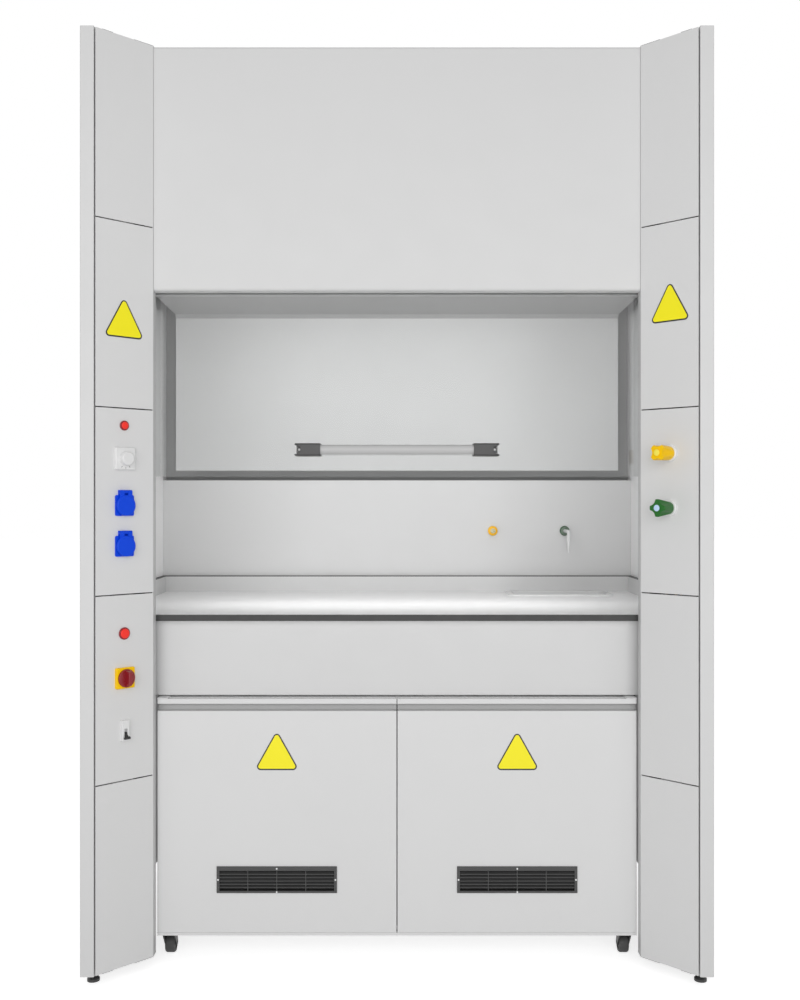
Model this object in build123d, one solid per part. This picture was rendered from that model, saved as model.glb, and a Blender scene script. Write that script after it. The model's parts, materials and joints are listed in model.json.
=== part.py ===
from build123d import *
import math
import os

# Laboratory fume hood with a counterbalanced vertical sash, service columns at 45 degrees
# and a mobile cabinet below the worktop. Sizes are in millimetres.
# The pieces are made with X to the right, Y back from the front of the side panels and
# Z up from the floor. They are written half a depth further forward, so that the origin
# is on the floor in the middle of the footprint.

# Overall sizes
WIDTH = 1500.0
DEPTH = 930.0
FOOT_HEIGHT = 27.0
COLUMN_HEIGHT = 2250.0

# Sheet metal and clearances
SHEET = 1.5
FRAME_SHEET = 2.0
BEND = 2.5
FIT = 0.3
PIN_CLEARANCE = 0.05

# Side panels and splayed columns
EDGE_FACE = 33.0
REAR_LIP = 22.0
SPLAY = 115.5
COLUMN_DEPTH = 148.0
EDGE_JOINT = 5.0
EDGE_JOINT_DEPTH = 18.5
PANEL_LAP = 25.0
PANEL_COUNT = 5
PANEL_GAP = 3.0
PANEL_FLANGE = 12.0

# Interior lining, worktop and its frame
LINER_INSET = 16.5
LINER = 6.0
WORKTOP_TOP = 869.0
WORKTOP = 16.0
TUBE = 40.0
LEG = 30.0
TUBE_WALL = 2.0
REAR_TIE_HEIGHT = 110.0
UPSTAND_HEIGHT = 50.0
UPSTAND = 12.0
FASCIA_FRONT = 175.0
FASCIA_INSET = 90.0
FASCIA_HEIGHT = 190.0
FASCIA_GAP = 2.0
FASCIA_FLANGE = 25.0

# Baffles
PLENUM_DEPTH = 65.0
LOWER_BAFFLE = 6.0
LOWER_BAFFLE_HEIGHT = 348.0
UPPER_BAFFLE = 2.0
UPPER_BAFFLE_STEP = 14.0
MIDDLE_SLOT = 29.0
SIDE_SLOT = 43.2
FOLD_ABOVE_PANEL = 50.0
BAFFLE_HEM = 15.0
FOLD_RUN = 9.0
FOLD_RISE = 12.0
CEILING_FRONT = 300.0
CEILING_RISE = 10.0
HANGER_WIDTH = 40.0
BACK_PANEL = 19.5
STANDOFF_RADIUS = 7.0
STANDOFF_INSET = 190.0
STANDOFF_MARGIN = 60.0

# Head of the hood
PANEL_HEIGHT = 605.0
PANEL_FRONT = 119.0
PANEL_HEAD_FLANGE = 31.0
PANEL_BOTTOM_BEND = 8.0
PANEL_SIDE_FLANGE = 20.0
LINTEL_REAR = 196.0
ROOF_DROP = 27.0
ROOF_SHEET = 2.0
COLLAR_RADIUS = 125.0
COLLAR_WALL = 1.5
COLLAR_HEIGHT = 100.0
COLLAR_FLANGE = 25.0
COLLAR_INSET = 370.0

# Gland for the supply cable, on the roof
GLAND_INSET = 150.0
GLAND_SETBACK = 130.0
GLAND_THREAD = 10.0
GLAND_BORE = 6.5
GLAND_HEX = 15.0
GLAND_HEX_HEIGHT = 8.0
GLAND_HEIGHT = 26.0
GLAND_TAIL = 14.0

# Sash
GLASS = 6.0
SASH_SETBACK = 10.0
SASH_OPENING = 345.0
GLASS_COVER = 10.0
GLASS_LAP = 14.0
GUIDE_WIDTH = 30.0
GUIDE_WALL = 2.0
GUIDE_DEPTH = 18.0
SHOE_CLEARANCE = 0.6
SHOE_LAP = 10.0
SHOE_LENGTH = 60.0
UPPER_SHOE_DROP = 52.0
LOWER_SHOE_RISE = 40.0

# Sash handle
HANDLE_WIDTH = 505.0
BRACKET_LENGTH = 63.0
BRACKET_HEIGHT = 31.0
HANDLE_Z = 1280.0
HANDLE_GAP = 20.0
BAR_RADIUS = 12.0
BAR_SEAT = 12.0
BRACKET_NOSE = 2.0
NOTCH_HEIGHT = 23.0
NOTCH_DEPTH = 7.0
CLAMP_PLATE = 4.0

# Counterbalance
DUCT_INSET = 94.0
DUCT_DEPTH = 28.0
DUCT_LIP = 14.0
DUCT_HEADROOM = 34.0
ROPE_INSET = 5.0
PULLEY_DROP = 49.0
PULLEY_HEADROOM = 2.5
PULLEY_PITCH_RADIUS = 26.0
PULLEY_FLANGE = 2.5
PULLEY_WIDTH = 10.0
PULLEY_GROOVE_FLOOR = 2.0
PULLEY_GROOVE_MOUTH = 6.8
PULLEY_HOLE_RADIUS = 4.0
PULLEY_HOLE_CIRCLE = 14.0
PULLEY_HOLES = 5
PIN_RADIUS = 4.0
ROPE_RADIUS = 1.5
ROPE_CLEARANCE = 0.2
COUNTERWEIGHT_HEADROOM = 12.0
COUNTERWEIGHT_WIDTH = 66.0
COUNTERWEIGHT_THICKNESS = 23.0
COUNTERWEIGHT_CHAMFER = 3.0
GLASS_DENSITY = 2.5e-6
STEEL_DENSITY = 7.85e-6
HANDLE_MASS = 0.9

# Lamp behind the lintel
LAMP_HALF_LENGTH = 400.0
LAMP_DEPTH = 42.0
LAMP_HEIGHT = 36.0
LAMP_ABOVE_PANEL = 76.0
LAMP_LENS = 3.0

# Drip sink
SINK_INSET = 257.5
SINK_SETBACK = 92.5
SINK_LENGTH = 315.0
SINK_WIDTH = 153.0
SINK_CORNER = 22.0
SINK_RIM = 12.0
SINK_RIM_HEIGHT = 4.0
SINK_DEPTH = 120.0
SINK_WALL = 4.0
SINK_TAPER = 4.0
DRAIN_RADIUS = 20.0
DRAIN_WALL = 3.0
DRAIN_LENGTH = 55.0

# Service outlets and pipes
OUTLET_HEIGHT = 190.0
GAS_INSET = 450.0
WATER_INSET = 225.0
OUTLET_FLANGE_RADIUS = 15.0
OUTLET_SHANK_RADIUS = 6.5
OUTLET_SHANK = 12.0
SPOUT_RADIUS = 5.0
SPOUT_WALL = 1.2
SPOUT_REACH = 85.0
SPOUT_DROP = 22.0
SPOUT_BEND = 12.0
NOZZLE_LENGTH = 42.0
NOZZLE_TIP_RADIUS = 2.6
NOZZLE_RIBS = 4
NOZZLE_RIB = 0.8
PIPE_RADIUS = 4.0
PIPE_BEND = 14.0
PIPE_HOLE_RADIUS = 5.0
PIPE_BACK_INSET = 12.0
OUTLET_PIPE_DROP = 74.0
INLET_PIPE_DROP = 119.0
GAS_RUN_RISE = 40.0
INLET_LENGTH = 30.0
INLET_RADIUS = 7.5
VALVE_RADIUS = 14.0
VALVE_DEPTH = 22.0
VALVE_LENGTH = 40.0
GAS_PIPE_OFFSET = 34.0
WATER_PIPE_OFFSET = 8.0

# Feet
FOOT_INSET = 20.0
FOOT_SETBACK = 47.0
FOOT_RADIUS = 15.0
FOOT_PAD = 8.0
STEM_RADIUS = 5.0
STEM_RISE = 30.0
NUT_RADIUS = 9.5
NUT_HEIGHT = 6.0
FOOT_PLATE = 4.0

# Controls on the left column, by height
UPPER_BUTTON_Z = 1335.0
DIMMER_Z = 1255.0
SOCKET_Z = (1142.0, 1044.0)
LOWER_BUTTON_Z = 833.0
SWITCH_Z = 726.0
BREAKER_Z = 599.0
UPPER_BEZEL_RADIUS = 12.0
LOWER_BEZEL_RADIUS = 14.75
BEZEL_HEIGHT = 4.0
BEZEL_RIM = 3.25
BUTTON_BODY = 34.0
BUTTON_STROKE = 3.0
BUTTON_PROUD = 3.0
BUTTON_GUIDE = 8.0
BUTTON_WALL = 2.0
DIMMER_PLATE = 54.0
DIMMER_PLATE_THICKNESS = 8.0
DIMMER_BODY_RADIUS = 10.0
DIMMER_BODY_LENGTH = 18.0
DIMMER_KNOB_RADIUS = 17.0
DIMMER_KNOB_HEIGHT = 14.0
DIMMER_SHAFT_RADIUS = 3.0
SOCKET_FLANGE = 50.0
SOCKET_FLANGE_THICKNESS = 4.0
SOCKET_RIM_RADIUS = 22.0
SOCKET_RIM_HEIGHT = 7.0
SOCKET_WELL_RADIUS = 19.5
SOCKET_WELL_DEPTH = 15.0
SOCKET_INSERT = 14.0
SOCKET_BODY_LENGTH = 34.0
SOCKET_CONTACT_RADIUS = 2.5
SOCKET_CONTACT_PITCH = 19.0
LID_RADIUS = 25.0
LID_THICKNESS = 6.0
LID_HINGE_Y = 33.0
LID_HINGE_HEIGHT = 7.0
LID_HINGE_WIDTH = 33.0
LID_KNUCKLE_RADIUS = 4.2
LID_LUG_WIDTH = 10.0
LID_PIN_RADIUS = 1.5
SWITCH_PLATE = 50.0
SWITCH_PLATE_THICKNESS = 9.0
SWITCH_BOX = 42.0
SWITCH_BOX_DEPTH = 40.0
SWITCH_HANDLE_RADIUS = 22.0
SWITCH_HANDLE_DISC = 6.0
SWITCH_GRIP_WIDTH = 13.0
SWITCH_GRIP_HEIGHT = 15.0
BREAKER_WIDTH = 20.0
BREAKER_HEIGHT = 50.0
BREAKER_COVER = 9.0
BREAKER_BODY_DEPTH = 45.0
TOGGLE_Y = -8.0
TOGGLE_WIDTH = 8.0
TOGGLE_RADIUS = 4.5
TOGGLE_PIN_RADIUS = 1.5
TOGGLE_LEVER = 13.0
TOGGLE_LEVER_THICKNESS = 4.0
TOGGLE_TIP_WIDTH = 16.0
TOGGLE_TIP_LENGTH = 5.0
TOGGLE_REST_ANGLE = -40.0

# Valve knobs on the right column
GAS_VALVE_Z = 1268.0
WATER_VALVE_Z = 1136.0
COLLAR_RING_RADIUS = 20.0
COLLAR_RING_HEIGHT = 7.0
COLLAR_RING_BORE = 6.5
SPINDLE_RADIUS = 4.0
SPINDLE_RISE = 36.0
KNOB_BASE = 7.4
KNOB_HEIGHT = 50.0
KNOB_CAP_RADIUS = 8.5
KNOB_CAP_HEIGHT = 2.0
KNOB_LOBES = 4
KNOB_LOBE_DEPTH = 7.0
KNOB_FLUTE_RADIUS = 16.0
GAS_KNOB_BASE_RADIUS = 16.5
GAS_KNOB_TIP_RADIUS = 21.0
GAS_KNOB_TURN = 0.0
WATER_KNOB_BASE_RADIUS = 15.0
WATER_KNOB_TIP_RADIUS = 21.5
WATER_KNOB_TURN = 45.0

# Mobile cabinet
CABINET_GAP = 3.0
CABINET_BOTTOM = 68.0
CABINET_DEPTH = 560.0
BOARD = 18.0
BACK_BOARD = 8.0
PLINTH_LIP = 7.0
DOOR = 18.0
DOOR_GAP = 2.5
DOOR_BUFFER = 2.3
DOOR_SEAM = 0.5
GRIP_LIP = 12.0
GRIP_HEIGHT = 18.0
GRIP_DEPTH = 14.0
GRIP_ROUND = 6.0
HINGE_INSET = 6.0
HINGE_PIN_RADIUS = 3.0
HINGE_PIN_LENGTH = 12.0
HINGE_PLATE = 2.0
HINGE_PLATE_WIDTH = 26.0
HINGE_PLATE_LENGTH = 70.0
DOOR_EDGE_ROUND = 2.0

# Door grilles
GRILLE_RISE = 140.0
GRILLE_WIDTH = 300.0
GRILLE_HEIGHT = 66.0
GRILLE_PROUD = 3.0
GRILLE_TOP_BORDER = 10.7
GRILLE_BOTTOM_BORDER = 5.0
GRILLE_SIDE_BORDER = 7.0
GRILLE_SLOTS = 6
GRILLE_BARS = 3
GRILLE_BAR = 2.0
GRILLE_WALL = 1.5
GRILLE_SINK = 14.0
LOUVRE = 1.6
LOUVRE_RUN = 8.0
LOUVRE_DROP = 4.5

# Casters
CASTER_INSET = 21.5
FRONT_CASTER_SETBACK = 52.0
REAR_CASTER_INSET = 58.0
CASTER_RADIUS = 25.0
CASTER_TREAD = 24.0
CASTER_CROWN = 2.0
CASTER_SHOULDER = 4.0
CASTER_TRAIL = 18.0
CASTER_CHEEK = 3.0
CASTER_SIDE_GAP = 0.6
CASTER_AXLE_RADIUS = 3.0
CASTER_STEM_RADIUS = 5.0
CASTER_STEM_RISE = 15.0
CASTER_HEAD_RADIUS = 16.0
CASTER_HEAD_DROP = 14.0
CASTER_PLATE_WIDTH = 38.0
CASTER_PLATE_LENGTH = 50.0
CASTER_PLATE = 3.0

# Worked out from the sizes above: width
HALF_WIDTH = WIDTH / 2
NICHE = HALF_WIDTH - EDGE_FACE - SPLAY
FACE_WIDTH = SPLAY * math.sqrt(2)
PANEL_FLANGE_WIDTH = FACE_WIDTH - 2 * (EDGE_JOINT_DEPTH * math.sqrt(2) + PANEL_LAP + BEND)
SKIN = HALF_WIDTH - SHEET
BACK_HALF_WIDTH = SKIN - BEND
LINING = HALF_WIDTH - LINER_INSET
INSIDE = LINING - FIT
FASCIA_HALF_WIDTH = HALF_WIDTH - FASCIA_INSET
UPPER_BAFFLE_HALF_WIDTH = INSIDE - SIDE_SLOT
STANDOFF_X = HALF_WIDTH - STANDOFF_INSET
GLAND_X = HALF_WIDTH - GLAND_INSET
SINK_X = HALF_WIDTH - SINK_INSET
GAS_X = HALF_WIDTH - GAS_INSET
WATER_X = HALF_WIDTH - WATER_INSET
FOOT_X = HALF_WIDTH - FOOT_INSET
DUCT_INNER = HALF_WIDTH - DUCT_INSET
GUIDE_INNER = DUCT_INNER - GUIDE_WIDTH
GLASS_HALF_WIDTH = GUIDE_INNER + GLASS_LAP
ROPE_SASH_X = GLASS_HALF_WIDTH + ROPE_INSET
PULLEY_X = ROPE_SASH_X + PULLEY_PITCH_RADIUS
ROPE_WEIGHT_X = PULLEY_X + PULLEY_PITCH_RADIUS
CABINET_HALF_WIDTH = NICHE - CABINET_GAP
HINGE_X = CABINET_HALF_WIDTH - HINGE_INSET
CASTER_X = CABINET_HALF_WIDTH - CASTER_INSET
GRILLE_X = (CABINET_HALF_WIDTH + DOOR_GAP / 2) / 2

# Depth
BACK_FRONT = DEPTH - SHEET - BACK_PANEL
BACK_SKIN = DEPTH - 2 * SHEET
LOWER_BAFFLE_FRONT = DEPTH - PLENUM_DEPTH - LOWER_BAFFLE
UPPER_BAFFLE_FRONT = LOWER_BAFFLE_FRONT - UPPER_BAFFLE_STEP
BEHIND_WEB = COLUMN_DEPTH + FIT
GLASS_FRONT = COLUMN_DEPTH + SASH_SETBACK
SASH_Y = GLASS_FRONT + GLASS / 2
SASH_SLOT_FRONT = SASH_Y - GUIDE_DEPTH / 2
SASH_SLOT_REAR = SASH_Y + GUIDE_DEPTH / 2 + FIT
DUCT_REAR = COLUMN_DEPTH + DUCT_DEPTH
REAR_LEG_FRONT = BACK_FRONT - TUBE
SPLAY_BACK = NICHE + SPLAY + SHEET * math.sqrt(2)
COLLAR_Y = DEPTH - COLLAR_INSET
GLAND_Y = DEPTH - GLAND_SETBACK
SINK_Y = LOWER_BAFFLE_FRONT - SINK_SETBACK
PIPE_BACK_Y = DEPTH - PIPE_BACK_INSET
CABINET_BACK = COLUMN_DEPTH + CABINET_DEPTH
CARCASS_FRONT = COLUMN_DEPTH + DOOR + DOOR_BUFFER
HINGE_Y = COLUMN_DEPTH + HINGE_INSET
FRONT_CASTER_Y = COLUMN_DEPTH + FRONT_CASTER_SETBACK
REAR_CASTER_Y = CABINET_BACK - REAR_CASTER_INSET

# Height
COLUMN_TOP = FOOT_HEIGHT + COLUMN_HEIGHT
PANEL_PITCH = COLUMN_HEIGHT / PANEL_COUNT
PANEL_BOTTOM = COLUMN_TOP - PANEL_HEIGHT
ROOF_BOTTOM = COLUMN_TOP - ROOF_DROP
ROOF_TOP = ROOF_BOTTOM + ROOF_SHEET
LAMP_BOTTOM = PANEL_BOTTOM + LAMP_ABOVE_PANEL
WORKTOP_BOTTOM = WORKTOP_TOP - WORKTOP
RAIL_BOTTOM = WORKTOP_BOTTOM - TUBE
LOWER_BAFFLE_TOP = WORKTOP_TOP + LOWER_BAFFLE_HEIGHT
UPPER_BAFFLE_BOTTOM = LOWER_BAFFLE_TOP + MIDDLE_SLOT
UPPER_BAFFLE_FOLD = PANEL_BOTTOM + FOLD_ABOVE_PANEL
SASH_BOTTOM = WORKTOP_TOP + SASH_OPENING
GLASS_HEIGHT = PANEL_BOTTOM - WORKTOP_TOP + GLASS_COVER
GLASS_TOP = SASH_BOTTOM + GLASS_HEIGHT
PULLEY_Z = COLUMN_TOP - PULLEY_DROP
GUIDE_TOP = PULLEY_Z - PULLEY_PITCH_RADIUS - PULLEY_FLANGE - PULLEY_HEADROOM
DUCT_HEAD = PULLEY_Z + DUCT_HEADROOM
COUNTERWEIGHT_TOP = GUIDE_TOP - SASH_OPENING - COUNTERWEIGHT_HEADROOM
OUTLET_Z = WORKTOP_TOP + OUTLET_HEIGHT
OUTLET_PIPE_Z = WORKTOP_TOP - OUTLET_PIPE_DROP
INLET_PIPE_Z = WORKTOP_TOP - INLET_PIPE_DROP
FASCIA_BOTTOM = WORKTOP_BOTTOM - FASCIA_HEIGHT
CABINET_TOP = FASCIA_BOTTOM - FASCIA_GAP
CARCASS_TOP = CABINET_TOP - HINGE_PLATE
DOOR_BOTTOM = CABINET_BOTTOM + PLINTH_LIP + DOOR_SEAM
DOOR_TOP = CARCASS_TOP - DOOR_SEAM
GRILLE_Z = CABINET_BOTTOM + GRILLE_RISE
CASTER_HEAD_BOTTOM = CABINET_BOTTOM - CASTER_HEAD_DROP


def block(x, y, z):
    """Box between a low and a high value on each axis."""
    size = [high - low for low, high in (x, y, z)]
    centre = [(low + high) / 2 for low, high in (x, y, z)]
    return Pos(*centre) * Box(*size)


def mirrored(shape):
    return mirror(shape, about=Plane.YZ)


def both_sides(*shapes):
    """Right-hand pieces and their left-hand mirror images."""
    return list(shapes) + [mirrored(shape) for shape in shapes]


def sheet_section(points, thickness, side, bend=BEND):
    """Section of a folded sheet whose outside runs through the points."""
    path = FilletPolyline(*points, radius=bend)
    outline = offset(path, amount=thickness, side=side, kind=Kind.ARC)
    return make_face(outline.edges())


def upright(section, low, high):
    """Section drawn in plan, raised between two heights."""
    return Pos(0, 0, low) * extrude(section, amount=high - low)


def crosswise(section, half_width):
    """Section drawn with Y across and Z up, run from side to side."""
    side_view = Plane.YZ * section
    return extrude(side_view, amount=half_width, both=True)


def rod(start, end, radius):
    """Round bar between two points."""
    axis = Vector(*end) - Vector(*start)
    foot = Plane(origin=start, z_dir=axis)
    return extrude(foot * Circle(radius), amount=axis.length)


def tube_along(points, bend, radius, wall=0.0):
    """Round pipe along straight runs joined by bends."""
    path = FilletPolyline(*points, radius=bend)
    section = Circle(radius)
    if wall:
        section -= Circle(radius - wall)
    return sweep(Plane(origin=path @ 0, z_dir=path % 0) * section, path=path)


def turned(profile):
    """Solid of revolution from points given as radius and height."""
    return revolve(Plane.XZ * make_face(Polyline(*profile, close=True)), axis=Axis.Z)


def column_face(side, height):
    """Plane on a splayed face: Z outwards, Y up. Side is 1 on the right and -1 on the left."""
    centre = (side * (NICHE + SPLAY / 2), SPLAY / 2, height)
    return Plane(origin=centre, x_dir=(1, -side, 0), z_dir=(-side, -1, 0))


# Side panels and columns

def side_panels():
    section = sheet_section(
        [
            (HALF_WIDTH - EDGE_FACE, EDGE_JOINT_DEPTH),
            (HALF_WIDTH - EDGE_FACE, 0),
            (HALF_WIDTH, 0),
            (HALF_WIDTH, DEPTH),
            (HALF_WIDTH - REAR_LIP, DEPTH),
        ],
        SHEET,
        Side.LEFT,
    )
    return both_sides(upright(section, FOOT_HEIGHT, COLUMN_TOP))


def column_outline():
    corner = (NICHE, SPLAY_BACK - NICHE)
    head = (SPLAY_BACK - EDGE_JOINT_DEPTH, EDGE_JOINT_DEPTH)
    return [corner, (NICHE, COLUMN_DEPTH), (SKIN, COLUMN_DEPTH), (SKIN, EDGE_JOINT_DEPTH), head]


def column():
    lap = PANEL_LAP / math.sqrt(2)
    outline = column_outline()
    inner_lap = (outline[0][0] + lap, outline[0][1] - lap)
    outer_lap = (outline[-1][0] - lap, outline[-1][1] + lap)
    section = sheet_section([inner_lap] + outline + [outer_lap], FRAME_SHEET, Side.RIGHT, BEND)
    shell = upright(section, FOOT_HEIGHT, COLUMN_TOP)
    plate = make_face(Polyline(*outline, close=True))
    foot_plate = upright(plate, FOOT_HEIGHT, FOOT_HEIGHT + FOOT_PLATE)
    foot_hole = Pos(FOOT_X, FOOT_SETBACK, FOOT_HEIGHT) * Cylinder(STEM_RADIUS + FIT, 4 * FOOT_PLATE)
    head_plate = upright(plate, COLUMN_TOP - FRAME_SHEET, COLUMN_TOP)
    notch = Box(PANEL_FLANGE_WIDTH + 2, COLUMN_HEIGHT + 2, 2 * PANEL_FLANGE + 2)
    notch = column_face(1, FOOT_HEIGHT + COLUMN_HEIGHT / 2) * notch
    return shell + (foot_plate - foot_hole - notch) + (head_plate - notch)


def pipe_web_holes():
    holes = []
    for x, height in pipe_crossings():
        spot = (x, COLUMN_DEPTH - FRAME_SHEET - FIT, height)
        holes.append(rod(spot, (x, COLUMN_DEPTH + FIT, height), PIPE_HOLE_RADIUS))
    return holes


def columns():
    right = column()
    left = mirrored(right)
    for hole in pipe_web_holes():
        right -= hole
    return [right, left]


def service_panel(side, index, cutters):
    """Tray that closes one field of a splayed face, counted from the floor."""
    height = PANEL_PITCH - PANEL_GAP
    middle = FOOT_HEIGHT + PANEL_PITCH * (index + 0.5)
    width = FACE_WIDTH - EDGE_JOINT
    tray = Pos(-side * EDGE_JOINT / 2, 0, -SHEET / 2) * Box(width, height, SHEET)
    for end in (-1, 1):
        edge = end * (height - SHEET) / 2
        tray += Pos(0, edge, -PANEL_FLANGE / 2) * Box(PANEL_FLANGE_WIDTH, SHEET, PANEL_FLANGE)
    for cutter in cutters:
        tray -= Pos(0, -middle, 0) * cutter
    return column_face(side, middle) * tray


def service_panels(side, cutters):
    panels = []
    for index in range(PANEL_COUNT):
        panels.append(service_panel(side, index, cutters))
    return panels


def round_cutout(height, radius):
    return Pos(0, height, 0) * Cylinder(radius, 3 * PANEL_FLANGE)


def left_cutouts():
    upper = UPPER_BEZEL_RADIUS - BEZEL_RIM + BUTTON_WALL
    lower = LOWER_BEZEL_RADIUS - BEZEL_RIM + BUTTON_WALL
    window = Box(BREAKER_WIDTH - 4, BREAKER_HEIGHT - 8, 3 * PANEL_FLANGE)
    cutouts = [
        round_cutout(UPPER_BUTTON_Z, upper + FIT),
        round_cutout(LOWER_BUTTON_Z, lower + FIT),
        round_cutout(DIMMER_Z, DIMMER_BODY_RADIUS + FIT),
        round_cutout(SWITCH_Z, SWITCH_HANDLE_RADIUS / 2),
        Pos(0, BREAKER_Z, 0) * window,
    ]
    for height in SOCKET_Z:
        cutouts.append(round_cutout(height, SOCKET_RIM_RADIUS + FIT))
    return cutouts


def right_cutouts():
    return [round_cutout(height, COLLAR_RING_BORE) for height in (GAS_VALVE_Z, WATER_VALVE_Z)]


# Worktop and its frame

def underframe():
    """Welded tube frame: rear legs, side, front and rear rails and a tie near the floor."""
    outside = None
    inside = None
    for wall in (0.0, TUBE_WALL):
        members = frame_members(wall)
        if wall:
            inside = members
        else:
            outside = members
    frame = outside - inside
    for side in (-1, 1):
        x = side * (SKIN - LEG / 2)
        y = REAR_LEG_FRONT + TUBE / 2
        plate = block((x - LEG / 2, x + LEG / 2), (REAR_LEG_FRONT, BACK_FRONT),
                      (FOOT_HEIGHT, FOOT_HEIGHT + FOOT_PLATE))
        hole = Pos(x, y, FOOT_HEIGHT) * Cylinder(STEM_RADIUS + FIT, 4 * FOOT_PLATE)
        frame += plate - hole
    return frame


def frame_members(wall):
    """The frame's tubes as one solid, each drawn in by a wall thickness."""
    inner = SKIN - LEG
    high = (RAIL_BOTTOM + wall, WORKTOP_BOTTOM - wall)
    tie = (REAR_TIE_HEIGHT - TUBE / 2 + wall, REAR_TIE_HEIGHT + TUBE / 2 - wall)
    across = (-SKIN + wall, SKIN - wall)
    rear = (REAR_LEG_FRONT + wall, BACK_FRONT - wall)
    front_y = FASCIA_FRONT + SHEET
    members = block(across, rear, high) + block(across, rear, tie)
    members += block(across, (front_y + wall, front_y + TUBE - wall), high)
    for side in (-1, 1):
        x = sorted((side * (inner + wall), side * (SKIN - wall)))
        members += block(x, (COLUMN_DEPTH + wall, BACK_FRONT - wall), high)
        members += block(x, rear, (FOOT_HEIGHT, WORKTOP_BOTTOM - wall))
    return members


def worktop():
    rear = LOWER_BAFFLE_FRONT + LOWER_BAFFLE + 1
    top = block((-INSIDE, INSIDE), (BEHIND_WEB, rear), (WORKTOP_BOTTOM, WORKTOP_TOP))
    cut = RectangleRounded(
        SINK_LENGTH - 2 * SINK_RIM + 2 * FIT, SINK_WIDTH - 2 * SINK_RIM + 2 * FIT, SINK_CORNER
    )
    return top - Pos(SINK_X, SINK_Y, WORKTOP_BOTTOM - 1) * extrude(cut, amount=WORKTOP + 2)


def upstand():
    height = (WORKTOP_TOP, WORKTOP_TOP + UPSTAND_HEIGHT)
    front_of_rear = LOWER_BAFFLE_FRONT - UPSTAND
    rear = block((-INSIDE, INSIDE), (front_of_rear, LOWER_BAFFLE_FRONT), height)
    side = block((INSIDE - UPSTAND, INSIDE), (DUCT_REAR + FIT, front_of_rear), height)
    return [rear] + both_sides(side)


def worktop_fascia():
    section = sheet_section(
        [
            (FASCIA_FRONT + FASCIA_FLANGE, FASCIA_BOTTOM),
            (FASCIA_FRONT, FASCIA_BOTTOM),
            (FASCIA_FRONT, WORKTOP_BOTTOM - FIT),
        ],
        SHEET,
        Side.RIGHT,
    )
    return crosswise(section, FASCIA_HALF_WIDTH)


def drip_sink():
    length = SINK_LENGTH - 2 * SINK_RIM
    width = SINK_WIDTH - 2 * SINK_RIM
    rim = extrude(RectangleRounded(SINK_LENGTH, SINK_WIDTH, SINK_CORNER), amount=SINK_RIM_HEIGHT)
    rim = fillet(rim.edges().group_by(Axis.Z)[-1], SINK_RIM_HEIGHT / 2)
    bowl = extrude(
        RectangleRounded(length, width, SINK_CORNER), amount=-SINK_DEPTH, taper=SINK_TAPER
    )
    hollow = extrude(
        RectangleRounded(length - 2 * SINK_WALL, width - 2 * SINK_WALL, SINK_CORNER - SINK_WALL),
        amount=-(SINK_DEPTH - SINK_WALL),
        taper=SINK_TAPER,
    )
    mouth = extrude(
        RectangleRounded(length - 2 * SINK_WALL, width - 2 * SINK_WALL, SINK_CORNER - SINK_WALL),
        amount=SINK_RIM_HEIGHT + 1,
    )
    low = -SINK_DEPTH - DRAIN_LENGTH
    drain = rod((0, 0, low), (0, 0, -SINK_DEPTH + SINK_WALL), DRAIN_RADIUS)
    bore = rod((0, 0, low - 1), (0, 0, -SINK_DEPTH + 2 * SINK_WALL), DRAIN_RADIUS - DRAIN_WALL)
    sink = rim + bowl + drain - hollow - mouth - bore
    return Pos(SINK_X, SINK_Y, WORKTOP_TOP) * sink


# Lining, baffles and back

def side_liners():
    liner = block((LINING, LINING + LINER), (BEHIND_WEB, BACK_FRONT),
                  (WORKTOP_BOTTOM, ROOF_BOTTOM))
    return both_sides(liner)


def back_panel():
    """Rear tray, open towards the chamber, with two holes for the rising pipes."""
    half = BACK_HALF_WIDTH
    outer = block((-half, half), (BACK_FRONT, DEPTH - SHEET), (RAIL_BOTTOM, ROOF_BOTTOM))
    inner = block((-half + SHEET, half - SHEET), (BACK_FRONT - 1, BACK_SKIN),
                  (RAIL_BOTTOM + SHEET, ROOF_BOTTOM - SHEET))
    tray = outer - inner
    for x in (outlet_pipe_x(GAS_PIPE_OFFSET), outlet_pipe_x(WATER_PIPE_OFFSET)):
        tray -= Pos(x, PIPE_BACK_Y, RAIL_BOTTOM) * Cylinder(PIPE_HOLE_RADIUS, 4 * SHEET)
    return tray


def standoffs(front, heights):
    spots = [(side * STANDOFF_X, height) for side in (-1, 1) for height in heights]
    return [rod((x, front, z), (x, BACK_SKIN, z), STANDOFF_RADIUS) for x, z in spots]


def lower_baffle():
    rear = LOWER_BAFFLE_FRONT + LOWER_BAFFLE
    sheet = block((-INSIDE, INSIDE), (LOWER_BAFFLE_FRONT, rear), (WORKTOP_TOP, LOWER_BAFFLE_TOP))
    for x in (GAS_X, WATER_X):
        sheet -= rod((x, LOWER_BAFFLE_FRONT - 1, OUTLET_Z), (x, rear + 1, OUTLET_Z),
                     OUTLET_SHANK_RADIUS + FIT)
    heights = (WORKTOP_TOP + STANDOFF_MARGIN, LOWER_BAFFLE_TOP - STANDOFF_MARGIN / 2)
    return [sheet] + standoffs(rear, heights)


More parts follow.
